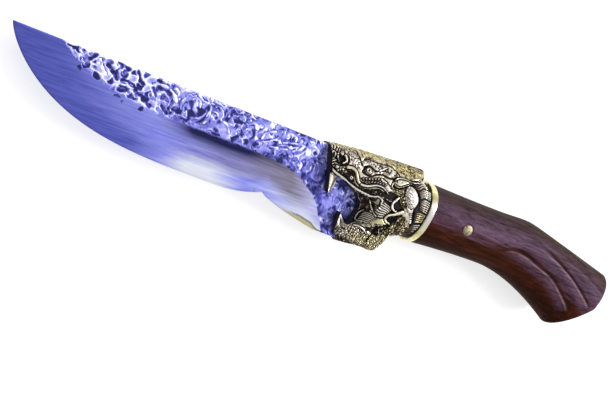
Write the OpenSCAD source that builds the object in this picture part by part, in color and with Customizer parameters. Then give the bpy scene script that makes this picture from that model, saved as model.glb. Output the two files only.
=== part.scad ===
// Fixed-blade knife: forged blade with a hidden tang, cast dragon-head bolster,
// ferrule band and a carved one-piece wooden handle held by a single pin.
// The knife lies on its side. The point faces -X, the spine +Y, and +Z is up.
// The origin is on the surface under the knife, at the middle of its outline.

/* [Blade] */
// Length of the blade in front of the bolster
blade_len = 143; // [125:1:165]
// Depth of the blade from spine to edge
blade_w = 32.5; // [28:0.5:36]
// Thickness across the forged flats
blade_t = 4.2; // [3.4:0.1:5.4]
// Thickness left along the ground edge
edge_t = 0.4; // [0.2:0.1:0.8]
// Length over which the edge sweeps up to the point
sweep_run = 106; // [80:1:110]
// Distance from the point to where the forged flat begins at the spine
flat_start = 21; // [12:1:36]
// Depth of the forged flat below the spine
flat_w = 12.8; // [9:0.2:17]
// Distance of the heel notch in front of the bolster
notch_front = 20.5; // [14:0.5:26]
// Depth of the blade at the heel notch
notch_w = 28.5; // [26:0.5:31]
// Depth of the ricasso where the jaws close on it
ricasso_w = 36; // [33:0.2:36.6]
// How much thinner the ricasso is behind the jaws, both sides together
seat_step = 0.5; // [0.3:0.1:0.8]

/* [Tang] */
// Length of the tang behind the ricasso
tang_len = 80; // [60:1:92]
// Depth of the tang at the ricasso
tang_w = 14; // [11:0.5:16]
// Depth of the tang at its end
tang_end_w = 8; // [7:0.5:10]
// Thickness of the tang
tang_t = 3.2; // [2.4:0.1:3.6]

/* [Bolster] */
// Length of the casting along the tang
bolster_len = 49; // [45:1:56]
// Thickness of the casting across its cheeks
bolster_t = 28; // [26:0.5:32]
// Thickness of the casting at its front edge
muzzle_t = 13; // [11:0.5:16]
// Lean of the casting's front edge back towards the jaw, in degrees
front_lean = 20; // [8:1:24]
// Height of the crest above the spine
crest_h = 4; // [3:0.5:7]
// Depth of the chin below the spine
chin_w = 36.8; // [36.6:0.2:40]
// Height of the cast strands above the skin
relief = 0.9; // [0.5:0.1:1.3]
// Number of mane ribs on each side
rib_count = 13; // [9:1:15]

/* [Ferrule] */
// Length of the ferrule band
ferrule_len = 3; // [2:0.5:6]
// Wall of the ferrule band
ferrule_wall = 1.8; // [1.2:0.1:2.6]
// How far the band stands proud of the wood
ferrule_proud = 0.3; // [0.1:0.1:0.6]

/* [Handle] */
// Length of the wood behind the ferrule
handle_len = 103; // [95:0.2:118]
// Depth of the neck at the ferrule
neck_w = 27.6; // [26:0.2:30]
// Thickness of the neck at the ferrule
neck_t = 26.4; // [24:0.2:28]
// Depth of the neck's centre below the spine
neck_drop = 13.2; // [12.6:0.1:13.8]
// Thickness of the grip at its slimmest
grip_t = 22; // [18:0.5:25]
// Thickness of the flared butt
butt_t = 25; // [22:0.5:30]
// Depth of the butt's lowest corner below the spine
butt_drop = 39.4; // [34:0.2:46]
// Distance of the bend in the top line behind the ferrule
bend_back = 54.6; // [44:0.2:62]
// Fall of the top line from the bend to the butt
top_fall = 10; // [5:0.2:14]
// Rounding of the butt's end face
butt_round = 2.5; // [1.5:0.5:4]
// Depth of the two flutes carved in each side of the butt
flute_depth = 1.3; // [0.6:0.1:2]

/* [Pin and bedding] */
// Diameter of the handle pin
pin_d = 5; // [4:0.5:6]
// Distance of the pin behind the ferrule
pin_back = 19; // [14:1:30]
// Depth of the pin below the spine
pin_drop = 12.2; // [11:0.1:14]
// Thickness of the resin round the tang
bed_t = 1.4; // [0.8:0.1:2.2]
// Gap between pieces that are fitted together
fit_gap = 0.05; // [0.02:0.01:0.1]

/* [Hidden] */

// Places along the knife, measured from the point
neck_x = blade_len + bolster_len;
grip_x = neck_x + ferrule_len;
butt_x = grip_x + handle_len;
ricasso_end = neck_x - 16;
half_t = max(bolster_t, butt_t) / 2;

// The casting's leaning front edge, which crosses the blade's length at this depth
lean_pivot = 5.5;
function front_x(y) = blade_len - tan(front_lean) * (y + lean_pivot);

// The wedge that grinds the bevels
bevel_slope = (blade_t - edge_t) / 2 / (blade_w - flat_w);
bevel_lift = 1;
plunge_end = blade_len + 10;
point_rise = 0.7;

function mix(a, b, t) = a + (b - a) * t;
function ramp(a, b, x) = min(1, max(0, (x - a) / (b - a)));
function ease(t) = t * t * (3 - 2 * t);

// Lower outline of the blade: sweep, straight belly, rise to the notch, then the heel
notch_x = blade_len - notch_front;
belly_end = notch_x - 22;
function sweep(x) = blade_w * pow(1 - pow(1 - ramp(0, sweep_run, x), 3.54), 0.778);
function edge_depth(x) =
    x < notch_x
        ? sweep(x) - (blade_w - notch_w) * pow(ramp(belly_end, notch_x, x), 2.4)
        : mix(notch_w, ricasso_w, pow(ramp(notch_x, blade_len + 7, x), 0.65));

// Depth of the line where the bevel meets the forged flat
function flat_depth(x) =
    x < flat_start
        ? point_rise * (x - flat_start)
        : min(flat_w * (1 - pow(1 - ramp(flat_start, flat_start + 54, x), 2.2))
              + (ricasso_w - flat_w) * pow(ramp(notch_x - 10, plunge_end, x), 3),
              edge_depth(x) - 0.5);
function edge_half(x) =
    x < sweep_run ? edge_t / 2
                  : max(edge_t / 2,
                        blade_t / 2 - bevel_slope * (edge_depth(x) - flat_depth(x)));

// Closed skin through rings of points. Point k of a ring mirrors point n - k.
module loft(rings) {
    n = len(rings[0]);
    last = (len(rings) - 1) * n;
    function cap(base, flip) = [
        for (k = [0 : n / 2 - 1])
            let (a = base + k, b = base + k + 1,
                 c = base + (n - k - 1) % n, d = base + (n - k) % n)
            each (flip ? [[a, d, c], [a, c, b]] : [[a, c, d], [a, b, c]])
    ];
    sides = [
        for (i = [0 : len(rings) - 2]) for (k = [0 : n - 1])
            let (a = i * n + k, b = i * n + (k + 1) % n)
            each [[a, b, b + n], [a, b + n, a + n]]
    ];
    faces = concat(sides, cap(0, true), cap(last, false));
    polyhedron([for (r = rings) each r],
               [for (f = faces) if (f[0] != f[1] && f[1] != f[2] && f[0] != f[2]) f]);
}

// Stands the drawn knife on its side on the ground plane
module lay_down() {
    translate([-butt_x / 2, (butt_drop - crest_h) / 2, half_t]) children();
}

module both_sides() {
    children();
    mirror([0, 0, 1]) children();
}

module grinding_wedge() {
    high = blade_t / 2 + bevel_lift;
    above = 60;
    below = 3;
    past_edge = 0.6;
    rings = [
        for (t = [-0.08 : 0.0217 : 1.1])
            let (x = ricasso_end * sign(t) * pow(abs(t), 1.35),
                 q = min(ricasso_end, max(x, 0.01)),
                 low = -edge_depth(q),
                 slope = (blade_t / 2 - edge_half(q)) / (edge_depth(q) - flat_depth(q)),
                 shoulder = -flat_depth(q) + bevel_lift / slope,
                 thin = edge_half(q) - slope * past_edge)
            [[x, above, 0], [x, above, -high], [x, shoulder, -high], [x, low - past_edge, -thin],
             [x, low - below, -thin], [x, low - below, 0], [x, low - below, thin],
             [x, low - past_edge, thin], [x, shoulder, high], [x, above, high]]
    ];
    loft(rings);
}

// Outline of the ricasso behind the jaws, up to the tang's shoulder. It starts inside the blade.
function seat_outline(gap) = [
    [front_x(0) - 4, gap], [ricasso_end + gap, gap],
    [ricasso_end + gap, -neck_drop - tang_w / 2 - 1 - gap],
    [blade_len + 18 + gap, -ricasso_w - gap], [front_x(-ricasso_w) - 4, -ricasso_w - gap]
];

function tang_outline(gap, extra) =
    let (a = tang_w / 2 + gap, b = tang_end_w / 2 + gap, end = ricasso_end + tang_len)
    [[ricasso_end - 2 - extra, -neck_drop + a], [end + gap, -neck_drop + b],
     [end + gap, -neck_drop - b], [ricasso_end - 2 - extra, -neck_drop - a]];

module slab(thickness) {
    translate([0, 0, -thickness / 2]) linear_extrude(thickness) children();
}

module pin_hole(gap) {
    translate([grip_x + pin_back, -pin_drop, -bolster_t])
        cylinder(r = pin_d / 2 + gap, h = 2 * bolster_t, $fn = 48);
}

// Forged blade, ground bevels, ricasso and tang in one piece of steel
module blade() {
    sweep_points = [for (x = [0, 1, 2, 4, 7, 11, 16, 22, 29, 37, 46, 56, 68, 82]) [x, -edge_depth(x)]];
    heel_points = [for (t = [0 : 0.125 : 1])
        let (x = mix(sweep_run - 12, notch_x, t)) [x, -edge_depth(x)]];
    ricasso_points = [for (t = [0.1 : 0.15 : 0.9])
        let (x = mix(notch_x, front_x(-ricasso_w), t)) [x, -edge_depth(x)]];
    color("lightsteelblue") lay_down() difference() {
        union() {
            intersection() {
                union() {
                    slab(blade_t)
                        polygon(concat(sweep_points, heel_points, ricasso_points,
                                       [[front_x(-ricasso_w), -ricasso_w], [front_x(0), 0]]));
                    slab(blade_t - seat_step) polygon(seat_outline(0));
                }
                grinding_wedge();
            }
            slab(tang_t) polygon(tang_outline(0, 0));
        }
        pin_hole(fit_gap);
    }
}

// The casting's ornament is drawn for a head of this size and stretches with it
drawn_len = 49;
drawn_w = 36.8;
function on_head(p) = [blade_len + p[0] * bolster_len / drawn_len, p[1] * chin_w / drawn_w];

head_end = 46;
front_crest = 0.4;
throat_w = 26.6;
function crest_line(x) =
    front_crest + (crest_h - front_crest) * pow(ramp(blade_len, blade_len + bolster_len - 4, x), 0.6);
function chin_line(x) =
    mix(chin_w, throat_w, ease(ramp(on_head([35.8, 0])[0], on_head([37.6, 0])[0], x)));
function head_half(x) =
    mix(muzzle_t / 2, bolster_t / 2 - relief,
        pow(ramp(blade_len, blade_len + bolster_len * 0.72, x), 0.7));
function head_power(x, y) =
    y < 0 ? 1.9 : mix(4, 2.3, ramp(blade_len, blade_len + bolster_len * 0.6, x));
function head_skin(x, y) =
    let (c = (crest_line(x) - chin_line(x)) / 2, h = (crest_line(x) + chin_line(x)) / 2,
         w = min(1, abs(y - c) / h), n = head_power(x, y - c))
    head_half(x) * pow(1 - pow(w, n), 1 / n);

// Egg-shaped section of the neck, widest nearer the spine
egg_share = 0.38;
function egg(angle, height, thick) =
    let (c = cos(angle), up = height * egg_share, low = height - up)
    [height / 2 - up + (c > 0 ? up : low) * c, thick / 2 * sin(angle)];
function neck_skin(y) =
    let (v = y + neck_drop, peak = neck_w * (0.5 - egg_share),
         w = min(1, abs(v - peak) / (v > peak ? egg_share : 1 - egg_share) / neck_w))
    (neck_t / 2 - relief) * sqrt(1 - w * w);
function skin(q) =
    max(q[0] < blade_len + head_end * bolster_len / drawn_len ? head_skin(q[0], q[1]) : 0,
        q[0] > blade_len + bolster_len * 0.6 ? neck_skin(q[1]) : 0);

module head_form() {
    n = 36;
    loft([
        for (t = [0 : 1 / 23 : 1])
            let (x = mix(front_x(crest_h), blade_len + head_end * bolster_len / drawn_len, t),
                 c = (crest_line(x) - chin_line(x)) / 2, h = (crest_line(x) + chin_line(x)) / 2,
                 half = head_half(x))
            [for (k = [0 : n - 1])
                let (a = 360 * k / n, power = 2 / head_power(x, cos(a)))
                [x, c + h * sign(cos(a)) * pow(abs(cos(a)), power),
                 -half * sign(sin(a)) * pow(abs(sin(a)), power)]]
    ]);
}

module neck_form() {
    translate([neck_x, -neck_drop]) rotate([90, 0, 90]) translate([0, 0, -24])
        linear_extrude(30)
            polygon([for (k = [0 : 35]) egg(10 * k, neck_w - 2 * relief, neck_t - 2 * relief)]);
}

// Strand of wax laid on the skin, thinning towards its end
module strand(path, r_start, r_end, lift = 1) {
    last = len(path) - 1;
    for (i = [0 : last - 1])
        hull() for (j = [i, i + 1])
            let (q = on_head(path[j]), r = mix(r_start, r_end, j / last))
            translate([q[0], q[1], skin(q) + relief * lift - r]) sphere(r, $fn = 6);
}

module bead(p, r, lift = 1) {
    q = on_head(p);
    translate([q[0], q[1], skin(q) + relief * lift - r]) sphere(r, $fn = r > 1.5 ? 12 : 6);
}

upper_lip = [[-1, -8.4], [2, -9.6], [6, -10.7], [10, -11.9], [14, -13.2], [18, -13.8],
             [21.4, -13.9], [24.2, -12.9], [26.2, -13.6], [26, -16.2]];
whisker = [[5.4, -6.2], [8, -5.9], [10.6, -6.1], [12.2, -7.2], [13.6, -9.4], [15.6, -10.6],
           [18, -10.3], [20.6, -9.2], [23, -8], [25.4, -8.6], [26.4, -9.9]];
nostril = [[1.2, -2.6], [2.8, -1.2], [5, -1.9], [6.4, -3.4], [5.6, -5.2]];
brow = [[10.2, -1.2], [12, -3], [13.8, -3.2], [16, -1.8], [19.4, -1.6], [23, -2.6], [26.4, -2.4]];
under_eye = [[13.8, -5.2], [16.2, -6.2], [19, -5.3], [22.4, -3.4]];
lower_lip = [[24.4, -20.6], [20.6, -21], [19.4, -22.8], [18.8, -25], [17.4, -27.2]];
jaw_line = [[17.6, -27.6], [21.4, -25.9], [25, -24.6], [28.6, -25.4]];
mouth_curl = [[33, -10.6], [31.2, -12.6], [31.6, -14.8], [35, -15.3], [33.4, -16.9],
              [30.8, -18.2], [30.4, -20.4], [33.4, -21.6]];
inner_curl = [[22.4, -15.6], [23.6, -18], [25.4, -19.6], [27.2, -20.6]];
ear = [[29, -4.6], [31.6, -3.6], [35, -2.6], [38.6, -1.3], [42.6, 1.2]];
cheek = [[36.6, -6], [38.8, -8.2], [39.4, -11], [39.8, -14.4]];

// Cast ornament of one side of the head
module head_ornament() {
    strand(upper_lip, 1.1, 0.7);
    strand(whisker, 1.05, 0.7, 1.1);
    strand(brow, 1.3, 0.6);
    strand(under_eye, 0.8, 0.6);
    strand(lower_lip, 0.8, 0.8);
    strand(jaw_line, 0.9, 0.6);
    strand(mouth_curl, 0.7, 0.9);
    strand(inner_curl, 0.6, 0.9);
    strand(nostril, 0.9, 0.7);
    bead([4.4, -3.8], 0.9);
    bead([16.4, -3.9], 1.7);
    for (k = [0 : 5]) bead([15.8 + 2.1 * k, -7.5 + 0.3 * k], 0.7, 0.8);
    strand(ear, 2, 0.7, 1);
    strand(cheek, 3, 1.6, 0.9);
    for (k = [0 : rib_count - 1]) {
        t = k / (rib_count - 1);
        y = mix(-0.6, -24, t);
        x = 42.2 + 1.8 * sin(180 * t);
        strand([[x, y + 0.4], [x + 6.4, y - 0.4]], 0.7, 0.6);
    }
}

module mouth_opening() {
    path = [[-8, -8.9], [-1, -9.1], [2, -10.2], [6, -11.3], [10, -12.5], [14, -13.8], [18, -14.5],
            [21.6, -14.8], [23.2, -17.4], [25, -19.4], [24, -20.2], [20.4, -20.7], [19, -22.6],
            [18.3, -25.1], [17.1, -27.9], [15.2, -29.3], [14.4, -31], [15, -33], [16.6, -35.4],
            [19, -38.4], [19, -60], [-8, -60]];
    slab(2 * bolster_t) polygon([for (p = path) on_head(p)]);
}

// A fang lies against the ricasso, with its root under the lip or in the jaw
module fang(root, tip) {
    hull() {
        translate(concat(on_head(root), 0)) cylinder(r = 1.9, h = muzzle_t / 2, $fn = 16);
        translate(concat(on_head(tip), 0)) cylinder(r = 0.5, h = muzzle_t / 3, $fn = 10);
    }
}

// Brass casting with a slot for the ricasso and a hole for the tang
module dragon_bolster() {
    color("darkgoldenrod") lay_down() difference() {
        intersection() {
            union() {
                difference() {
                    union() {
                        head_form();
                        neck_form();
                    }
                    mouth_opening();
                }
                both_sides() {
                    head_ornament();
                    fang([3.4, -10.4], [5.3, -18.3]);
                    fang([16.3, -29.6], [14.5, -25.4]);
                }
            }
            translate([blade_len + fit_gap, -lean_pivot, -bolster_t / 2]) rotate(front_lean)
                translate([0, -2 * chin_w]) cube([2 * bolster_len, 4 * chin_w, bolster_t]);
            translate([front_x(crest_h) - 1, -chin_w, -bolster_t / 2])
                cube([bolster_len * 1.5, chin_w + crest_h, bolster_t]);
        }
        slab(blade_t - seat_step + 2 * fit_gap) polygon(seat_outline(fit_gap));
        slab(tang_t + 2 * fit_gap) polygon(tang_outline(fit_gap, 1));
        translate([neck_x, -50, -50]) cube(100);
    }
}

module neck_frame() {
    translate([neck_x, -neck_drop]) rotate([90, 0, 90]) children();
}

// Brass band between the casting and the wood
module ferrule_band() {
    color("khaki") lay_down() neck_frame() linear_extrude(ferrule_len) difference() {
        polygon([for (k = [0 : 71]) egg(5 * k, neck_w, neck_t)]);
        polygon([for (k = [0 : 71]) egg(5 * k, neck_w - 2 * ferrule_wall, neck_t - 2 * ferrule_wall)]);
    }
}

// Side outline of the handle as two lines, from the ferrule to the butt
wood_half = neck_w / 2 - ferrule_proud;
front_top = [grip_x, wood_half - neck_drop];
front_low = [grip_x, -wood_half - neck_drop];
end_top = [butt_x - 1, front_top[1] - top_fall];
end_low = [butt_x - 22.4, -butt_drop + 0.5];
bend_x = grip_x + bend_back;
swell_x = grip_x + 37;
top_waist = 0.4;
low_waist = 1.6;
knuckle = 0.4;
butt_bulge = 2.6;
end_corner = 0.36;
function soft(d) = (d + sqrt(d * d + 13)) / 2;
function top_line(s) =
    let (x = mix(front_top[0], end_top[0], s))
    [x, front_top[1] - top_waist * sin(180 * ramp(front_top[0], bend_x, x))
        + knuckle * ease(ramp(bend_x - 16, bend_x, x))
        - (top_fall + knuckle) * soft(x - bend_x) / soft(end_top[0] - bend_x)];
function low_line(s) =
    let (x = mix(front_low[0], end_low[0], s))
    [x, front_low[1] + low_waist * sin(90 * ramp(front_low[0], swell_x, x))
        + (end_low[1] - front_low[1] - low_waist) * pow(ramp(swell_x, end_low[0], x), 1.72)];
function handle_half(s) =
    mix(mix(neck_t / 2 - ferrule_proud, grip_t / 2, ease(ramp(0, 0.45, s))),
        butt_t / 2, ease(ramp(0.5, 0.95, s)));

// Flutes start pointed in the grip and end round before the butt
function flute(x, y, x0, y0, run, fall, power) =
    let (t = (x - x0) / run,
         mid = y0 - fall * pow(ramp(0, 1, t), power),
         slope = fall / run * power * pow(ramp(0, 1, t), power - 1),
         d = abs(y - mid) / sqrt(1 + slope * slope),
         width = mix(1, 3.4, ramp(0, 0.6, t)))
    t < 0 || t > 1.08 ? 0
        : flute_depth * ramp(0, 0.3, t) * ramp(1.08, 0.96, t) * pow(max(0, 1 - pow(d / width, 2)), 1.5);
function flutes(x, y) =
    flute(x, y, butt_x - 56, -11.2, 43, 16.6, 1.6) + flute(x, y, butt_x - 43, -9.4, 37, 14.2, 1.7);

function handle_ring(s, inset, out) =
    let (n = 40, a = top_line(s), b = low_line(s), d = (b - a) / norm(b - a), m = [-d[1], d[0]],
         half = handle_half(s) - inset, share = mix(egg_share, 0.45, s),
         bulge = butt_bulge * pow(ramp(0.55, 1, s), 2))
    [for (k = [0 : n - 1])
        let (angle = 360 * k / n, c = cos(angle),
             v = c > 0 ? share * (1 - c) : share - (1 - share) * c,
             swell = min(v / end_corner, (1 - v) / (1 - end_corner)),
             p = mix(a + d * inset, b - d * inset, v) + m * (bulge * swell + out),
             z = half * sin(angle))
        [p[0], p[1], -sign(z) * (abs(z) - min(abs(z) * 0.3, flutes(p[0], p[1])))]];

// Carved wooden handle with a tenon for the ferrule and a mortise for the tang
module wooden_handle() {
    tenon_w = neck_w - 2 * ferrule_wall - 2 * fit_gap;
    tenon_t = neck_t - 2 * ferrule_wall - 2 * fit_gap;
    color("saddlebrown") lay_down() difference() {
        union() {
            loft(concat([for (k = [0 : 33]) handle_ring(pow(k / 33, 0.85), 0, 0)],
                        [for (a = [30, 60, 90])
                            handle_ring(1, butt_round * (1 - cos(a)), butt_round * sin(a))]));
            neck_frame() translate([0, 0, fit_gap]) linear_extrude(ferrule_len + 1)
                polygon([for (k = [0 : 71]) egg(5 * k, tenon_w, tenon_t)]);
        }
        slab(tang_t + 2 * bed_t) polygon(tang_outline(bed_t, 0));
        pin_hole(fit_gap);
    }
}

// Brass pin through the wood, the resin and the tang
module handle_pin() {
    s = (grip_x + pin_back - (front_top[0] + front_low[0]) / 2)
        / ((end_top[0] + end_low[0] - front_top[0] - front_low[0]) / 2);
    length = 2 * handle_half(s);
    color("goldenrod") lay_down() translate([grip_x + pin_back, -pin_drop, -length / 2])
        cylinder(r = pin_d / 2, h = length, $fn = 48);
}

// Resin that beds the tang in the handle's mortise
module tang_bedding() {
    color("dimgray") lay_down() difference() {
        intersection() {
            slab(tang_t + 2 * bed_t - 2 * fit_gap) polygon(tang_outline(bed_t - fit_gap, 0));
            translate([neck_x + fit_gap, -50, -50]) cube([2 * handle_len, 100, 100]);
        }
        slab(tang_t + 2 * fit_gap) polygon(tang_outline(fit_gap, 1));
        pin_hole(fit_gap);
    }
}

blade();
dragon_bolster();
ferrule_band();
wooden_handle();
handle_pin();
tang_bedding();
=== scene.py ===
"""A fixed-blade knife: forged and ground blade, cast dragon-head bolster, carved rosewood handle."""
import math

import bpy
import numpy as np
from mathutils import Matrix, Vector


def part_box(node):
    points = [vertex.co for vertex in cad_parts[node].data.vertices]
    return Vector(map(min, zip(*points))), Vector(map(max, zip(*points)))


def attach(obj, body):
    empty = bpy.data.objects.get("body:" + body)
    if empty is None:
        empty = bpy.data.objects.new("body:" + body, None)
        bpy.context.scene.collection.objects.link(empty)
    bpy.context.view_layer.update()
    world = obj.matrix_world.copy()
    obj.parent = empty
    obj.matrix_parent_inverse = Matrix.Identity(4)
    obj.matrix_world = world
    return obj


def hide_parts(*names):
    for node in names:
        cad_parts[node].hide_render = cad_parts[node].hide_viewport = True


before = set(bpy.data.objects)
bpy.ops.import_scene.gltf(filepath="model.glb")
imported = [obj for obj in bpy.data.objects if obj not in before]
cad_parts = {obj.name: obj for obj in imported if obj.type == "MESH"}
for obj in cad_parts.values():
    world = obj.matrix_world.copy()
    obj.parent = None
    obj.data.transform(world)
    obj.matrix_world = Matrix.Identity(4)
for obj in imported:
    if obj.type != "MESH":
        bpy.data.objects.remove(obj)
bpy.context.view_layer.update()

# Blade: one bar of steel with its hammered scale left on the flats and both bevels ground to
# the edge. Behind the heel the bar stays thick as the ricasso, which sits in the dragon's
# jaws, and runs on as a flat tang that the handle pin crosses.
MM = 0.001
blade_low, blade_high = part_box("blade")
POINT = np.array([blade_low.x, blade_high.y, (blade_low.z + blade_high.z) / 2])

# All lengths are millimetres: _len, _x and _end run back from the point, _w is a depth from
# the spine, _drop a place below it, and _half half of a thickness
blade_len, blade_w, blade_half, edge_half = 143.0, 32.5, 2.1, 0.2
# The belly sweeps up to the point, and the hammered flat starts a little behind it
sweep_run, sweep_bend, sweep_lift, flat_start, flat_w = 106.0, 3.54, 0.778, 21.0, 12.8
# The heel drops from a notch to the ricasso, which narrows inside the head to the tang
notch_x, notch_w, ricasso_w, taper_x, taper_low, ricasso_end = 122.5, 28.5, 36.0, 161.0, 21.2, 176.0
seat_half, tang_half, tang_w, tang_end_w, tang_end = 1.85, 1.6, 14.0, 8.0, 256.0
# The tang's middle line, and the casting's front edge, which leans back in degrees
neck_drop, front_lean, lean_pivot = 13.2, 20.0, 5.5
pin_x, pin_drop, pin_r, fit_gap = 214.0, 12.2, 2.5, 0.05
scale_depth, colour_run = 0.17, 150.0
round_steps, crisp_angle, through = 64, 45.0, 10.0


def placed(points):
    """Knife millimetres, from the point, the spine and the middle plane, as metres in the frame."""
    return np.asarray(points, float) * MM + POINT


def mix(a, b, t):
    return a + (b - a) * t


def ramp(a, b, x):
    return np.clip((x - a) / (b - a), 0.0, 1.0)


def ease(t):
    return t * t * (3 - 2 * t)


def hump(d, width):
    """1 where d is 0, falling softly to nothing beyond the width."""
    return np.exp(-(d / width) ** 2)


def chance(i, j, seed):
    """One number from 0 to 1 for each whole-number cell, scrambled by large odd factors."""
    n = i.astype(np.int64) * 374761393 + j.astype(np.int64) * 668265263 + seed * 974634777
    n &= 0xFFFFFFFF
    n = ((n ^ (n >> 13)) * 1274126177) & 0xFFFFFFFF
    return (n ^ (n >> 16)) / 4294967295.0


def drift(x, y, size, seed):
    """Smooth chance from -1 to 1 that turns about every size millimetres."""
    u, v = x / size, y / size
    i, j = np.floor(u), np.floor(v)
    a, b = ease(u - i), ease(v - j)
    low = mix(chance(i, j, seed), chance(i + 1, j, seed), a)
    high = mix(chance(i, j + 1, seed), chance(i + 1, j + 1, seed), a)
    return 2 * mix(low, high, b) - 1


def scattered(x, y, size, seed):
    """Distance to the nearest of the scattered centres and to the next, in sizes, and its luck."""
    u, v = x / size, y / size
    i, j = np.floor(u), np.floor(v)
    first, second, luck = np.full(u.shape, 9.0), np.full(u.shape, 9.0), np.zeros(u.shape)
    for di in (-1, 0, 1):
        for dj in (-1, 0, 1):
            ci, cj = i + di, j + dj
            d = np.hypot(ci + 0.1 + 0.8 * chance(ci, cj, seed) - u,
                         cj + 0.1 + 0.8 * chance(ci, cj, seed + 7) - v)
            nearer = d < first
            second = np.where(nearer, first, np.minimum(second, d))
            luck = np.where(nearer, chance(ci, cj, seed + 3), luck)
            first = np.where(nearer, d, first)
    return first, second, luck


def edge_depth(x):
    """Depth of the blade's lower outline: sweep, straight belly, notch, then the heel."""
    sweep = blade_w * (1 - (1 - ramp(0, sweep_run, x)) ** sweep_bend) ** sweep_lift
    belly = sweep - (blade_w - notch_w) * ramp(notch_x - 22, notch_x, x) ** 2.4
    heel = mix(notch_w, ricasso_w, ramp(notch_x, blade_len + 7, x) ** 0.65)
    return np.where(x < notch_x, belly, heel)


def flat_depth(x):
    """Depth of the line where the bevel meets the hammered flat."""
    rise = flat_w * (1 - (1 - ramp(flat_start, flat_start + 54, x)) ** 2.2)
    run_out = (ricasso_w - flat_w) * ramp(notch_x - 10, blade_len + 14, x) ** 2.8
    flat = np.minimum(rise + run_out, edge_depth(x) - 0.5)
    return np.where(x < flat_start, 0.7 * (x - flat_start), flat)


bevel_fall = (blade_half - edge_half) / (blade_w - flat_w)


def bevel_half(x, y):
    """Half thickness that the grinding leaves."""
    edge = np.where(x < sweep_run, edge_half,
                    np.maximum(edge_half, blade_half - bevel_fall * (edge_depth(x) - flat_depth(x))))
    slope = (blade_half - edge) / (edge_depth(x) - flat_depth(x))
    return edge + slope * (edge_depth(x) + y)


def front_x(y):
    """The casting's leaning front edge."""
    return blade_len - math.tan(math.radians(front_lean)) * (y + lean_pivot)


def curve(points, closed=False, step=0.3):
    """A smooth path through given points."""
    p = np.array(points, float)
    if closed:
        p = np.concatenate([p[-1:], p, p[:2]])
    else:
        p = np.concatenate([2 * p[:1] - p[1:2], p, 2 * p[-1:] - p[-2:-1]])
    out = []
    for a, b, c, d in zip(p[:-3], p[1:-2], p[2:-1], p[3:]):
        n = max(2, int(np.hypot(*(c - b)) / step))
        t = np.linspace(0, 1, n, endpoint=False)[:, None]
        out.append(0.5 * (2 * b + (c - a) * t + (2 * a - 5 * b + 4 * c - d) * t ** 2
                          + (3 * b - a - 3 * c + d) * t ** 3))
    return np.concatenate(out + [p[-2:-1]])


def trace(x, y, path, reach):
    """Which points lie near a path, how far, how far along it, and on which side."""
    near = ((x > path[:, 0].min() - reach) & (x < path[:, 0].max() + reach)
            & (y > path[:, 1].min() - reach) & (y < path[:, 1].max() + reach))
    px, py = x[near], y[near]
    steps = np.maximum(np.hypot(*np.diff(path, axis=0).T), 1e-6)
    marks = np.concatenate([[0], np.cumsum(steps)])
    best, share, side = np.full(px.shape, 1e9), np.zeros(px.shape), np.zeros(px.shape)
    for (ax, ay), (bx, by), size, mark in zip(path[:-1], path[1:], steps, marks):
        u = np.clip(((px - ax) * (bx - ax) + (py - ay) * (by - ay)) / size ** 2, 0, 1)
        dx, dy = px - ax - u * (bx - ax), py - ay - u * (by - ay)
        d = np.hypot(dx, dy)
        closer = d < best
        best = np.where(closer, d, best)
        share = np.where(closer, (mark + u * size) / marks[-1], share)
        side = np.where(closer, np.sign((bx - ax) * dy - (by - ay) * dx), side)
    return near, best, share, side
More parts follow.
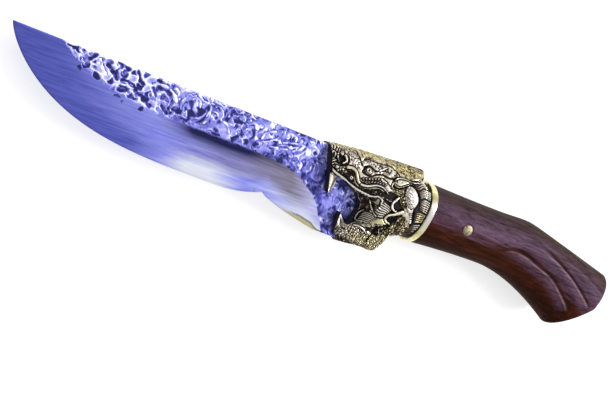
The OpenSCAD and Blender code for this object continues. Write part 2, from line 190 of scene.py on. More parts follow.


# Marks of the hammer and the scale on the shown side: round pits as place and radius, then
# dark and bright marks as half a width and a path. The first four bright marks, inside the jaws,
# are painted highlights
pits = [(32.1, -3.5, 1.7), (35.2, -3.4, 0.7), (35.8, -5.3, 0.7), (29.3, -1.0, 0.8), (32.8, -1.1, 0.7),
        (38.5, -1.6, 0.9), (48.0, -3.0, 1.2), (56.3, -4.4, 0.9), (61.2, -7.8, 0.9), (65.9, -11.9, 1.1),
        (72.2, -9.5, 1.2), (90.2, -6.9, 0.8), (101.1, -12.2, 1.3), (106.2, -11.4, 1.3),
        (111.7, -13.6, 0.5), (117.0, -14.0, 0.7), (126.1, -16.0, 0.5), (128.0, -14.8, 0.7),
        (136.9, -5.6, 0.7), (140.1, -19.2, 1.1), (115.5, -4.5, 0.6), (109.9, -4.6, 0.6)]
dark_marks = [(0.5, [(22.6, -0.9), (24.7, -1.2), (26.5, -0.6)]),
              (1.0, [(39.6, -1.6), (42.8, -4.4), (45.9, -6.6)]),
              (0.5, [(44.8, -0.3), (45.9, -1.4), (44.5, -3.6)]),
              (0.6, [(53.0, -0.8), (54.0, -2.2), (54.8, -4.2)]),
              (0.6, [(47.5, -6.4), (49.9, -5.9), (52.4, -6.3)]),
              (0.9, [(47.8, -10.1), (50.2, -9.7), (52.3, -8.9)]),
              (0.9, [(54.8, -9.2), (57.9, -9.5), (60.7, -9.9)]),
              (0.7, [(59.1, -10.8), (60.9, -11.4), (62.4, -11.8)]), (0.6, [(61.9, -1.0), (63.9, -2.2)]),
              (0.9, [(67.0, -10.2), (70.1, -12.3)]), (0.8, [(60.9, -4.9), (63.2, -7.4)]),
              (0.3, [(54.6, -7.1), (56.4, -7.3)]),
              (0.7, [(63.4, -3.9), (66.3, -3.9), (69.3, -5.6), (70.6, -7.8), (70.0, -10.2)]),
              (1.5, [(73.4, -9.4), (76.4, -10.0), (78.9, -9.8)]),
              (1.9, [(78.7, -8.5), (82.0, -8.7), (84.0, -6.4)]),
              (0.5, [(82.0, -12.4), (84.4, -10.3), (85.8, -7.6), (86.0, -3.9)]),
              (1.1, [(98.3, -4.6), (101.4, -4.9)]), (0.4, [(101.2, -1.2), (102.9, -3.2), (102.8, -6.6)]),
              (0.7, [(91.2, -13.0), (94.4, -12.9)]),
              (0.5, [(108.0, -6.6), (108.6, -8.4), (107.4, -10.2)]), (0.4, [(97.0, -2.6), (100.4, -1.9)]),
              (0.35, [(113.6, -8.4), (117.2, -6.2), (118.6, -4.6)]),
              (0.4, [(128.2, -9.4), (131.0, -7.6), (132.2, -5.4)]),
              (0.4, [(138.5, -10.6), (138.8, -13.1), (137.4, -14.9)]),
              (0.35, [(139.0, -3.6), (140.2, -5.0), (139.4, -7.2)]),
              (0.35, [(122.0, -7.2), (126.3, -6.0), (130.4, -5.4)]),
              (0.6, [(141.6, -20.9), (143.6, -21.6)]), (0.3, [(145.0, -25.6), (147.1, -25.2)])]
bright_marks_and_highlights = [(0.8, [(158.4, -18.0), (158.7, -16.9), (159.5, -16.1)]),
                (0.5, [(164.6, -19.1), (165.1, -19.3)]),
                (0.4, [(158.7, -20.7), (159.6, -19.3), (160.5, -17.9), (161.8, -17.5), (162.2, -16.4)]),
                (0.35, [(160.7, -18.4), (162.2, -18.9), (163.3, -19.6)]),
                (0.3, [(94.2, -7.0), (96.4, -8.2), (98.1, -10.6)]),
                (0.35, [(86.6, -3.4), (87.4, -7.2), (86.4, -10.6)]),
                (0.3, [(103.7, -8.1), (104.6, -6.5), (106.2, -6.4), (107.2, -8.0), (106.0, -9.9),
                       (104.3, -9.6)]),
                (0.3, [(112.3, -8.1), (113.0, -5.4), (116.9, -3.2)]),
                (0.3, [(127.4, -8.2), (130.3, -6.5), (131.4, -4.6)]),
                (0.3, [(123.4, -3.8), (124.6, -2.1), (126.6, -2.4), (126.9, -4.6), (125.0, -5.4)]),
                (0.35, [(135.6, -3.0), (138.4, -4.4), (138.2, -6.6)]),
                (0.25, [(121.8, -6.4), (126.1, -5.1), (130.4, -4.4)]),
                (0.3, [(137.6, -10.8), (137.9, -13.0), (136.6, -14.2)]),
                (0.3, [(79.9, -2.2), (82.0, -3.6), (84.4, -3.0), (86.0, -0.6)]),
                (0.4, [(61.0, -3.4), (64.9, -2.2), (69.4, -3.6), (72.2, -6.4)]),
                (0.4, [(36.6, -2.0), (38.4, -4.4), (40.6, -6.0)]),
                (0.4, [(46.6, -8.2), (49.8, -7.7), (53.4, -7.9)]),
                (0.3, [(117.2, -9.6), (121.0, -9.2), (124.6, -8.4)]),
                (0.3, [(131.8, -10.4), (133.4, -12.6), (133.2, -15.2)])]


def hammered(x, y, seed):
    """Tone of the hammered scale, from -1 in the dark pits to 1 on the bright ridges."""
    u = x + 0.9 * drift(x, y, 4.0, seed) + 0.4 * drift(x, y, 1.6, seed + 1)
    v = y + 0.9 * drift(x, y, 4.0, seed + 2) + 0.4 * drift(x, y, 1.6, seed + 3)
    near, far, luck = scattered(u, v * 1.15, 3.6, seed + 10)
    pit = ramp(0.60, 0.38, near) * ramp(0.45, 0.6, luck)
    ridge = ramp(0.34, 0.06, far - near)
    coarse = 0.35 - 1.3 * pit + 0.65 * ridge + 0.3 * drift(u, v, 1.5, seed + 20)
    swell = drift(u, v, 3.6, seed + 30) + 0.5 * drift(u, v, 1.8, seed + 31)
    step = 1.5 * swell - np.floor(1.5 * swell)
    lower = ramp(0.55, 1.0, -y / np.maximum(flat_depth(x), 4))
    wisps = ramp(-0.4, 0.25, drift(x, y, 2.2, seed + 32)) * (1 - 0.5 * lower)
    shades = ramp(-0.45, 0.2, drift(x, y, 1.9, seed + 33)) * (1 - 0.3 * lower)
    fine = (0.02 - 0.15 * lower + 0.4 * drift(x, y, 3.4, seed + 40) + 0.25 * drift(x, y, 1.1, seed + 41)
            - 1.4 * shades * hump(step - 0.20, 0.08) + 1.5 * wisps * hump(step - 0.42, 0.10)
            - 0.8 * ramp(0.42, 0.2, near) * ramp(0.6, 0.8, luck))
    tone = mix(coarse - 0.1, fine, ramp(58, 74, x)) + 0.12 * drift(x, y, 0.7, seed + 50)
    # Near the spine the scale is paler and shallower; its paleness there is a painted highlight.
    return tone + 0.6 * ramp(-1.7, -0.3, y) * ramp(128, 80, x)


def worked(x, y, tone):
    """Lays the shown side's own marks over its scale, with a painted highlight on one side of each pit's
    rim and a painted edge of the opposite tone along one side of each mark.
    """
    rough = 1 + 0.5 * drift(x, y, 1.5, 61) + 0.2 * drift(x, y, 0.8, 62)
    worn = 1.0 * drift(x, y, 1.5, 63) + 0.4 * drift(x, y, 0.8, 64)
    for cx, cy, r in pits:
        d = np.hypot(x - cx, y - cy) * rough
        # The rim is painted brighter on its side towards the point: painted highlight.
        rim = hump(d - r - 0.25, 0.25) * mix(0.1, 1, ramp(cx + 0.5, cx - 0.8, x))
        tone = mix(tone, 0.9, rim)
        tone = mix(tone, -0.75 + worn, ramp(r + 0.2, r - 0.3, d))
    for marks, level in ((dark_marks, -0.8), (bright_marks_and_highlights, 0.8)):
        for width, path in marks:
            width *= mix(0.9, 0.7, ramp(60, 75, path[0][0]))
            near, d, _, side = trace(x, y, curve(path), width + 1.6)
            d = d * rough[near]
            # Along one side of each mark a painted edge of the opposite tone: painted highlight beside dark
            # marks, painted shade beside bright ones.
            edge = hump(d - width - 0.3, 0.25) * (side * level > 0) * ramp(-0.3, 0.3, worn[near] + 0.1)
            tone[near] = mix(tone[near], -level, edge)
            tone[near] = mix(tone[near], level + worn[near], ramp(width + 0.25, width - 0.2, d))
    return tone


def wall_faces(rings, n):
    """Faces between neighbouring rings of n points."""
    i, k = np.meshgrid(np.arange(rings - 1), np.arange(n), indexing="ij")
    a, b = i * n + k, i * n + (k + 1) % n
    return np.stack([a, b, b + n, a + n], -1).reshape(-1, 4)


def loft_faces(rings, n):
    """Walls and both ends. Point k of a ring mirrors point n - k across the blade's plane."""
    faces = wall_faces(rings, n).tolist()
    for base, turn in ((0, -1), ((rings - 1) * n, 1)):
        for k in range(n // 2):
            end = [base + k, base + k + 1, base + (n - k - 1) % n, base + (n - k) % n]
            faces.append(list(dict.fromkeys(end))[::turn])
    return faces


def solid(name, points, faces):
    """A smooth closed mesh in the frame, with its faces turned outwards."""
    points = placed(points)
    fan = np.array([(f[0], f[m], f[m + 1]) for f in faces for m in range(1, len(f) - 1)])
    a, b, c = (points[fan[:, m]] for m in range(3))
    if np.einsum("ij,ij->", a, np.cross(b, c)) < 0:
        faces = [f[::-1] for f in faces]
    mesh = bpy.data.meshes.new(name)
    mesh.from_pydata(points.tolist(), [], faces)
    mesh.shade_smooth()
    piece = bpy.data.objects.new(name, mesh)
    bpy.context.scene.collection.objects.link(piece)
    return piece


def note(piece, name, values):
    """Stores one number for each vertex, for the material to read."""
    layer = piece.data.attributes.new(name, "FLOAT", "POINT")
    layer.data.foreach_set("value", np.asarray(values, np.float32).ravel())


def carve(piece, tool, how="DIFFERENCE", cut_slot=0):
    """Cuts the tool from the piece, or joins it on, and throws the tool away."""
    tool.data.materials.clear()
    for material in piece.data.materials:
        tool.data.materials.append(material)
    tool.data.polygons.foreach_set("material_index", [cut_slot] * len(tool.data.polygons))
    cut = piece.modifiers.new("cut", "BOOLEAN")
    cut.operation, cut.solver, cut.object = how, "MANIFOLD", tool
    bpy.context.view_layer.update()
    whole = piece.evaluated_get(bpy.context.evaluated_depsgraph_get())
    mesh = bpy.data.meshes.new_from_object(whole)
    piece.modifiers.clear()
    old, piece.data = piece.data, mesh
    mesh.name = piece.name
    mesh.set_sharp_from_angle(angle=math.radians(crisp_angle))
    bpy.data.meshes.remove(old)
    bpy.data.objects.remove(tool)


def prism(outline, low, high):
    """A straight-walled block over an outline, as a cutting tool."""
    n = len(outline)
    points = [(x, y, z) for z in (low, high) for x, y in outline]
    ends = [list(range(n))[::-1], list(range(n, 2 * n))]
    return solid("tool", points, wall_faces(2, n).tolist() + ends)


def disc(x, y, r):
    """Outline of a round hole or rod."""
    turns = [2 * math.pi * k / round_steps for k in range(round_steps)]
    return [(x + r * math.cos(a), y + r * math.sin(a)) for a in turns]


def tang_outline(gap, start):
    """The tapered tang from its start to its end, with a gap all round."""
    a, b, end = tang_w / 2 + gap, tang_end_w / 2 + gap, tang_end + gap
    return [(start, -neck_drop + a), (end, -neck_drop + b), (end, -neck_drop - b), (start, -neck_drop - a)]


stations = np.concatenate([[0.12, 0.4], np.arange(0.8, 20, 0.8), np.arange(20, 167, 0.3),
                           [168, 171, 174, ricasso_end, ricasso_end + 0.01, 190, 214, 240, tang_end]])
flat_cols, bevel_cols = 60, 22
x_at = stations[:, None]
in_tang = x_at > ricasso_end
spine_y = np.where(in_tang, -neck_drop + mix(tang_w, tang_end_w, ramp(ricasso_end, tang_end, x_at)) / 2,
                   -0.08 - 0.08 * drift(x_at, x_at * 0, 5.0, 3) * ramp(15, 30, x_at))
taper = mix(-ricasso_w, -taper_low, ramp(taper_x, ricasso_end, x_at))
low_y = np.where(x_at < taper_x, -edge_depth(x_at), taper)
low_y = np.where(in_tang, -2 * neck_drop - spine_y, low_y)
zone = np.clip(flat_depth(x_at) + 3.5, 4.0, None)
zone = np.minimum(zone, (spine_y - low_y) * 0.8)
near_spine = np.array([0, 0.1, 0.25, 0.45])
share = np.linspace(0, 1, flat_cols - len(near_spine) + 1)[1:]
narrow = np.minimum(1, zone / 4)
down = np.concatenate([near_spine * narrow, mix(0.5 * narrow, zone, share)], axis=1)
rest = np.linspace(0, 1, bevel_cols + 1)[1:] ** 0.9
down = np.concatenate([down, mix(zone, spine_y - low_y, rest)], axis=1)
side_y = spine_y - down
side_x = np.broadcast_to(x_at, side_y.shape)
shown_side, far_side = 11, 47


def blade_side(x, y, seed):
    """Half thickness, and what the steel's finish depends on, for one side of the blade."""
    tone = hammered(x, y, seed)
    if seed == shown_side:
        tone = worked(x, y, tone)
    # Within the jaws the tone is painted brighter and stronger: painted light against the casting's shade.
    in_jaws = ramp(front_x(y) - 1.5, front_x(y) + 1, x)
    behind = ramp(132, 142, x) * ramp(-6, -11, y)
    tone = mix(tone, 0.75 * tone - 0.38, 0.7 * behind)
    tone = mix(tone, 1.3 * tone + 0.2, in_jaws)
    tone = np.clip(tone, -1, 1)
    bar = mix(blade_half, seat_half, ramp(front_x(y) - 4, front_x(y) - 0.5, x))
    shallow = ramp(17, 25, x + 0.4 * y) * mix(1, 0.45, ramp(62, 78, x))
    skin = bar - (0.03 + scale_depth * (1 - tone)) * shallow
    ground = bevel_half(x, y)
    half = np.where(x > ricasso_end, tang_half, np.minimum(skin, ground))
    forged = ramp(-0.02, 0.03, ground - skin) * (x > 19)
    from_edge = y - low_y
    thin = 0.03 + 0.31 * from_edge + 4 * ramp(notch_x - 4, notch_x + 3, x)
    half = np.minimum(half, thin)
    corner = np.minimum(ramp(0, 0.45, spine_y - y), np.maximum(ramp(0, 0.5, from_edge), x < notch_x))
    half = half * mix(0.72, 1, np.sqrt(1 - (1 - corner) ** 2))
    across = ramp(0, 1, (-y - flat_depth(x)) / (edge_depth(x) - flat_depth(x)))
    # The heel's lower rim is left straw-coloured by the temper, with a dark line above it
    rim = 1.9 * ramp(131, 142, x) * ramp(152.5, 148, x)
    straw = ramp(rim + 0.1, rim - 0.25, from_edge) * (rim > 0.1)
    line = hump(from_edge - np.maximum(rim, 0.3) - 0.1, 0.28) * ramp(136, 141, x) * ramp(158, 156, x)
    # Along the casting's front the steel is painted dark in a ragged band: a painted shadow of the casting.
    ragged_shadow_edge = front_x(y) - 0.9 + 0.35 * drift(y, y * 0, 0.9, 71)
    line = np.maximum(line, ramp(ragged_shadow_edge, ragged_shadow_edge + 0.35, x) * (y > -18.6) * (x < front_x(y) + 1.5))
    return half, forged, 0.5 + 0.5 * tone, across, straw, line


sides = [blade_side(side_x, side_y, seed) for seed in (shown_side, far_side)]
ring_x = np.concatenate([side_x, side_x[:, ::-1]], axis=1)
ring_y = np.concatenate([side_y, side_y[:, ::-1]], axis=1)
ring_z = np.concatenate([sides[0][0], -sides[1][0][:, ::-1]], axis=1)
# The ring's first point sits alone on the spine's middle line, so that both ends close evenly
top = np.stack([stations, spine_y[:, 0], stations * 0], -1)[:, None, :]
low = np.stack([stations, low_y[:, 0] - 0.02, stations * 0], -1)[:, None, :]
cols = side_y.shape[1]
both = np.stack([ring_x, ring_y, ring_z], -1)
both = np.concatenate([top, both[:, :cols], low, both[:, cols:]], axis=1)


def both_values(k):
    """One value of the finish on the whole ring."""
    a, b = sides[0][k], sides[1][k][:, ::-1]
    return np.concatenate([a[:, :1], a, a[:, -1:], b], axis=1)


def srgb(r, g, b):
    """A colour given the way a paint chart gives it, for a shader."""
    return [(c / 255 / 12.92 if c < 11 else ((c / 255 + 0.055) / 1.055) ** 2.4) for c in (r, g, b)] + [1]


def plug(node, inputs):
    """Gives a node its inputs, each a plain value or another node's socket."""
    for key, value in inputs.items():
        if isinstance(value, bpy.types.NodeSocket):
            node.id_data.links.new(value, node.inputs[key])
        else:
            node.inputs[key].default_value = value


def add(tree, kind, inputs, **settings):
    """One shader node with its settings and inputs."""
    made = tree.nodes.new("ShaderNode" + kind)
    for name, value in settings.items():
        setattr(made, name, value)
    plug(made, inputs)
    return made


def noted(tree, name):
    return add(tree, "Attribute", {}, attribute_name=name).outputs["Fac"]


def maths(tree, operation, a, b=0.0, c=0.5):
    return add(tree, "Math", {0: a, 1: b, 2: c}, operation=operation).outputs[0]


def swing(tree, noise, amount):
    """Chance to either side of zero."""
    return maths(tree, "MULTIPLY", maths(tree, "SUBTRACT", noise, 0.5), amount)


def grade(tree, factor, *stops):
    """A run of colours or greys over a factor from 0 to 1."""
    made = add(tree, "ValToRGB", {0: factor})
    while len(made.color_ramp.elements) < len(stops):
        made.color_ramp.elements.new(0.5)
    for element, (place, colour) in zip(made.color_ramp.elements, stops):
        element.position = place
        element.color = srgb(*colour) if isinstance(colour, tuple) else [colour] * 3 + [1]
    return made.outputs[0]


def blend_colour(tree, factor, a, b, how="MIX"):
    return add(tree, "Mix", {0: factor, 6: a, 7: b}, data_type="RGBA", blend_type=how).outputs[2]


def streaks(tree, stretch, scale, detail=3.0, rough=0.55):
    """Chance drawn out along the knife, from coordinates in the frame."""
    here = add(tree, "TexCoord", {}).outputs["Object"]
    drawn = add(tree, "Mapping", {"Vector": here, "Scale": stretch}).outputs[0]
    return add(tree, "TexNoise", {"Vector": drawn, "Scale": scale, "Detail": detail,
                                  "Roughness": rough}).outputs["Fac"]


def raised(tree, height, distance, strength):
    """Fine tooth of the surface, for a shader's normal."""
    return add(tree, "Bump", {"Height": height, "Distance": distance, "Strength": strength}).outputs[0]


def finish(name):
    """A new material with its one shader, and the tree that they live in."""
    made = bpy.data.materials.new(name)
    made.use_nodes = True
    return made, made.node_tree, made.node_tree.nodes["Principled BSDF"]


steel, tree, shader = finish("forged_steel")
steel_notes = ("along", "forged", "tone", "across", "straw", "line")
along, forged, tone, across, straw, line = (noted(tree, name) for name in steel_notes)
brushed = streaks(tree, (0.3, 5.0, 1.0), 230, 4.0, 0.65)
clouds = streaks(tree, (0.45, 2.4, 1.0), 36, 3.0)
wander = swing(tree, clouds, 0.35)
to_edge = maths(tree, "ADD", across, wander)
along = maths(tree, "ADD", along, maths(tree, "MULTIPLY", wander, 0.6))
# Colours of the ground steel, partly its temper and partly painted reflection: blue at the point, lilac
# behind it, then a painted dark reflection under the flat beside a painted bright reflection on the
# edge, and grey before the pale heel, which is a painted highlight
blue_steel, lilac_steel, pale_highlight_steel = (98, 104, 200), (152, 156, 246), (202, 202, 254)
dark_reflection_steel, grey_steel, bright_reflection_steel = (40, 40, 84), (136, 130, 150), (234, 238, 255)
under_flat = grade(tree, along, (0.1, blue_steel), (0.43, lilac_steel), (0.53, dark_reflection_steel),
                   (0.7, dark_reflection_steel), (0.87, grey_steel), (0.96, pale_highlight_steel))
middle = grade(tree, along, (0.2, blue_steel), (0.46, lilac_steel), (0.87, grey_steel),
               (0.96, pale_highlight_steel))
near_edge = grade(tree, along, (0.4, blue_steel), (0.49, lilac_steel), (0.58, bright_reflection_steel),
                  (0.67, bright_reflection_steel), (0.77, lilac_steel), (0.96, bright_reflection_steel))
bevel_colour = blend_colour(tree, grade(tree, to_edge, (0.10, 0), (0.36, 1)), under_flat, middle)
bevel_colour = blend_colour(tree, grade(tree, to_edge, (0.50, 0), (0.76, 1)), bevel_colour, near_edge)
brush_lines = grade(tree, brushed, (0.32, 0.18), (0.68, 0.82))
bevel_colour = blend_colour(tree, 0.42, bevel_colour, brush_lines, "OVERLAY")
bevel_colour = blend_colour(tree, straw, bevel_colour, srgb(206, 196, 152))
# Dark on the line above the heel's rim, and on the painted shadow along the casting's front
bevel_colour = blend_colour(tree, line, bevel_colour, srgb(34, 28, 34))
# The scale's colour follows its tone: partly its own dark scale and worn ridges, partly painted shade in
# the pits and painted highlight on the ridges
forged_colour = grade(tree, tone, (0.02, (26, 26, 88)), (0.22, (62, 62, 146)), (0.44, (118, 120, 208)),
                      (0.62, (160, 162, 238)), (0.82, (224, 224, 252)), (1.0, (250, 250, 253)))
plug(shader, {"Base Color": blend_colour(tree, forged, bevel_colour, forged_colour),
              "Metallic": grade(tree, forged, (0, 1.0), (1, 0.6)),
              "Roughness": grade(tree, forged, (0, 0.38), (1, 0.48)),
              "Normal": raised(tree, brushed, 0.00004, 0.5)})

blade = solid("forged_blade", both.reshape(-1, 3), loft_faces(len(stations), both.shape[1]))
for k, name in enumerate(steel_notes[1:], 1):
    note(blade, name, both_values(k))
note(blade, "along", np.repeat(stations / colour_run, both.shape[1]))
blade.data.materials.append(steel)
carve(blade, prism(disc(pin_x, -pin_drop, pin_r + fit_gap), -through, through))
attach(blade, "root")
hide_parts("blade")

# Dragon bolster: a solid brass casting that bites the ricasso, made by lost wax. The strands,
# scales and curls were laid on in wax, the hollows are blackened and the high spots rubbed
# bright; some strands carry painted highlights, and the deep mouth and the front rim painted shade.
# A slot takes the ricasso and a hole the tang, and the band closes it behind.
neck_x = 192.0
neck_w, neck_t, wax = 27.6, 26.4, 0.9
crest_h, chin_w, throat_w = 4.0, 37.0, 27.3
# Where the crest ends, the chin turns into the throat, and the throat into the round neck
crest_end, chin_end, throat_start, throat_end, neck_start = 188.0, 178.9, 180.5, 184.9, 190.4
muzzle_half, cheek_half, cheek_x, head_half, jaw_wall = 6.5, 13.1, 178.28, 14.0, 2.6
# Share of an egg's height above its widest place, and the rings and points of the skin's mesh
egg_up = 0.38
rings, girth = 208, 222


def crest_line(x):
    """Height of the head above the spine."""
    crest = 0.4 + (crest_h - 0.4) * ramp(blade_len, crest_end, x) ** 0.6
    end = np.sqrt(1 - ramp(crest_end, neck_start, x) ** 2)
    return mix(-neck_drop + neck_w / 2 - wax, crest, end)


def chin_line(x):
    """Depth of the chin, the throat and the neck."""
    dip = 0.3 + 0.95 * hump(x - 174, 7) + 0.6 * ramp(156, 150, x)
    chin = mix(chin_w - dip, throat_w, ease(ramp(chin_end, throat_start, x)))
    return mix(chin, neck_drop + neck_w / 2 - wax, ease(ramp(throat_end, 191, x)))


def head_skin(x, y):
    """Half thickness of the plain head, which runs into the egg-shaped neck."""
    centre, reach = (crest_line(x) - chin_line(x)) / 2, (crest_line(x) + chin_line(x)) / 2
    power = np.where(y < centre, 1.9, mix(4, 2.3, ramp(blade_len, 172.4, x)))
    out = np.minimum(1, np.abs(y - centre) / reach)
    widest = mix(muzzle_half, cheek_half, ramp(blade_len, cheek_x, x) ** 0.7)
    head = widest * (1 - out ** power) ** (1 / power)
    tall = neck_w - 2 * wax
    v = y + neck_drop
    peak = tall * (0.5 - egg_up)
    out = np.minimum(1, np.abs(v - peak) / np.where(v > peak, egg_up, 1 - egg_up) / tall)
    neck = (neck_t / 2 - wax) * np.sqrt(1 - out ** 2)
    return mix(head, neck, ease(ramp(183.5, neck_start, x)))


def ring_height(s, line, low, high):
    """Where a leaning ring meets the head's outline."""
    for _ in range(40):
        y = (low + high) / 2
        outside = line(y, mix(front_x(y), neck_x, s))
        low, high = np.where(outside, low, y), np.where(outside, y, high)
    return y


s_at = np.linspace(0, 1, rings)
top_y = ring_height(s_at, lambda y, x: y > crest_line(x), s_at * 0 - 10, s_at * 0 + 8)
low_end = ring_height(s_at, lambda y, x: y > -chin_line(x), s_at * 0 - 45, s_at * 0 - 10)
turn = np.linspace(0, math.pi, 600)
head_x, head_y, head_z = (np.zeros((rings, girth + 1)) for _ in range(3))
for r in range(rings):
    y = mix(low_end[r], top_y[r], (1 + np.cos(turn)) / 2)
    x = mix(front_x(y), neck_x, s_at[r])
    z = head_skin(x, y)
    z[0] = z[-1] = 0
    run = np.concatenate([[0], np.cumsum(np.sqrt(np.diff(x) ** 2 + np.diff(y) ** 2 + np.diff(z) ** 2))])
    even = np.linspace(0, run[-1], girth + 1)
    head_x[r], head_y[r], head_z[r] = (np.interp(even, run, q) for q in (x, y, z))


def inside(x, y, path):
    """True for the points within a closed path."""
    hit = np.zeros(x.shape, bool)
    for (ax, ay), (bx, by) in zip(path, np.roll(path, -1, axis=0)):
        if ay != by:
            hit ^= ((ay > y) != (by > y)) & (x < ax + (y - ay) * (bx - ax) / (by - ay))
    return hit


# Places on the head are millimetres behind the blade's end and below the spine
hx, hy = head_x - blade_len, head_y
upper_lip = curve([(-1, -7.4), (1.0, -8.3), (2.8, -9.4), (5.4, -10.1), (7.6, -10.6), (9.6, -11.5),
                   (12.0, -12.2), (14.2, -12.7), (16.0, -13.0), (18.9, -13.2), (21.7, -13.3),
                   (23.4, -12.6), (24.6, -12.4), (26.0, -12.9), (26.7, -13.8), (26.6, -15.0),
                   (26.2, -16.3)])
mouth_back = curve([(18.7, -16.3), (20.2, -17.4), (20.8, -19.6), (20.6, -21.6), (20.4, -23.8),
                    (19.4, -26.2)])
jaw_front = curve([(14.3, -30.4), (15, -32.2), (16, -33.9), (17.9, -35.3)])

# The skin falls away towards the back of the mouth and the front of the jaw
sink = np.zeros(hx.shape)
near, d = trace(hx, hy, mouth_back, 9)[:2]
round_jaw = [(26.3, -16.1), (34, -18), (40, -50), (-20, -50), (-20, -8)]
below_lip = inside(hx, hy, np.concatenate([upper_lip, round_jaw]))
sink[near] = 4.6 * (1 - ease(ramp(0, 8.5, d)))
near, d = trace(hx, hy, upper_lip, 9)[:2]
edge = np.zeros(hx.shape)
edge[near] = ramp(0.5, 1.6, d)
sink *= np.where(below_lip, edge, 0)
near, d = trace(hx, hy, jaw_front, 4)[:2]
sink[near] += 1.9 * (1 - ease(ramp(0, 4, d)))

# On the slanting walls of the hollows the tooling moves back and down with their depth
slant_back, slant_down = 0.488, 0.097
ux, uy = hx - slant_back * sink, hy + slant_down * sink

# Height of the wax over the skin, the black left on it, its gold, and where ribs are combed. The
# gold is partly the brass's own yellow and partly painted warm light on the crest, the snout's top,
# the jaw and the neck
relief = 0.08 * drift(ux, uy, 0.9, 103) + 0.12 * drift(ux, uy, 2.6, 104)
black = 0.3 + 0.3 * drift(ux, uy, 1.2, 106)
gold, ribbed, comb = np.full(hx.shape, 0.35), np.zeros(hx.shape), np.zeros(hx.shape)


def ground(outline, level, soft=0.5, dark=0.15, tint=0.1):
    """Raises or sinks the skin within an outline, and gives it its patina and its gold."""
    near, d = trace(ux, uy, np.concatenate([outline, outline[:1]]), soft + 0.3)[:2]
    cover = inside(ux, uy, outline).astype(float)
    fade = cover.copy()
    fade[near] = np.where(cover[near] > 0, ease(ramp(0, soft, d)), 0)
    for field, value in ((relief, level), (black, dark), (gold, tint), (ribbed, 0)):
        field[:] = mix(field, value, fade)
    return fade


def patch(points, *rest):
    """The same within a smooth closed path."""
    return ground(curve(points, True), *rest)


def strand(points, width, height=0.6, end=0.6, groove=0.3, level=0.0, tint=0.15, dark=0.0):
    """A strand of wax laid on the skin, thinning to its end, with a tooled groove on each side."""
    near, d, t = trace(ux, uy, curve(points), width + 1)[:3]
    w = width * mix(1, end, t)
    round_top = np.sqrt(np.clip(1 - (d / w) ** 2, 0, 1))
    cover = ramp(w + 0.1, w - 0.06, d)
    gap = hump(d - w - 0.18, 0.22) * (1 - cover)
    relief[near] = mix(relief[near], level + height * (0.35 + 0.65 * round_top), cover) - groove * gap
    black[near] = mix(np.maximum(black[near], 1.1 * gap), dark + 0.55 * (1 - round_top), cover)
    gold[near] = mix(gold[near], tint, cover)
    ribbed[near] *= 1 - cover


def score(points, width, depth, dashed=0.0):
    """A line tooled into the wax."""
    near, d, t = trace(ux, uy, curve(points), 3 * width + 0.3)[:3]
    wave = 1 - dashed * (0.5 + 0.5 * np.sin(t * 60))
    line = hump(d, width) * wave
    relief[near] -= depth * line
    black[near] = np.maximum(black[near], 1.2 * line)


def knob(x, y, r, height, level=0.0, tint=0.15, dark=0.0):
    """A round bead of wax, with a groove about it."""
    d = np.hypot(ux - x, uy - y)
    cover = ramp(r + 0.08, r - 0.05, d)
    dome = np.sqrt(np.clip(1 - (d / r) ** 2, 0, 1))
    gap = hump(d - r - 0.15, 0.2) * (1 - cover)
    relief[:] = mix(relief, level + height * dome, cover) - 0.28 * gap
    black[:] = mix(np.maximum(black, gap), dark + 0.5 * (1 - dome), cover)
    gold[:] = mix(gold, tint, cover)


def hole(x, y, r, depth=0.5):
    """A dent drilled with a point."""
    sunk = hump(np.hypot(ux - x, uy - y), r)
    relief[:] -= depth * sunk
    black[:] = np.maximum(black, 1.3 * sunk)


def punched(size, depth, seed, where, dark=0.9, up=uy):
    """Small punch marks."""
    near, _, luck = scattered(ux, up, size, seed)
    dots = ramp(0.44, 0.2, near) * where * mix(0.3, 1, luck)
    relief[:] -= depth * dots
    black[:] = np.maximum(black, dark * dots)


def smudged(amount, low, high, size, seed, where, up=uy):
    """Darker smudges left in the wax by chance."""
    black[:] += amount * where * ramp(low, high, drift(ux, up, size, seed))


def scaled(size, height, seed, where, dark=1.0, spread=0.35, up=uy):
    """Uneven scales that crowd together."""
    wx, wy = ux + 0.45 * drift(ux, up, 1.7, seed + 40), up + 0.45 * drift(ux, up, 1.7, seed + 41)
    near, far, luck = scattered(wx, wy, size, seed)
    gap = ramp(0.34, 0.06, far - near - 0.08 * drift(ux, uy, 1.1, seed + 42))
    relief[:] += height * (0.5 - gap) * where
    black[:] = np.maximum(black + spread * (luck - 0.4) * where, dark * gap * where)


def combed(top, low, count, tint=0.15, bright=0.0, level=0.0):
    """Ribs combed side by side between two lines, with black between them."""
    top, low = curve(top), curve(low)
    cover = inside(ux, uy, np.concatenate([top, low[::-1]]))
    x, y = ux[cover], uy[cover]
    above, below = trace(x, y, top, 99)[1:3], trace(x, y, low, 99)[1]
    phase = count * above[0] / (above[0] + below + 1e-6) + 0.25 * drift(x, y, 2.0, 115)
    wave = 0.5 - 0.5 * np.cos(2 * math.pi * phase)
    relief[cover] = level + 0.5 * wave - 0.2
    ends = 0.55 * (1 - ramp(0, 0.55, above[1])) + 0.6 * ramp(0.4, 0.1, np.minimum(phase, count - phase))
    black[cover] = bright + 0.15 * (1 - wave) + ends
    gold[cover], ribbed[cover], comb[cover] = tint, 1, phase


def domed(x, y, long, short, lean, height):
    """A smooth bulge, longer one way than the other."""
    c, s = math.cos(math.radians(lean)), math.sin(math.radians(lean))
    a, b = ((ux - x) * c + (uy - y) * s) / long, ((uy - y) * c - (ux - x) * s) / short
    out = np.hypot(a, b)
    relief[:] = mix(relief, height * np.sqrt(np.clip(1 - out ** 2, 0, 1)), ramp(1.02, 0.94, out))
    ribbed[:] *= out > 1
    return ramp(1.02, 0.94, out)


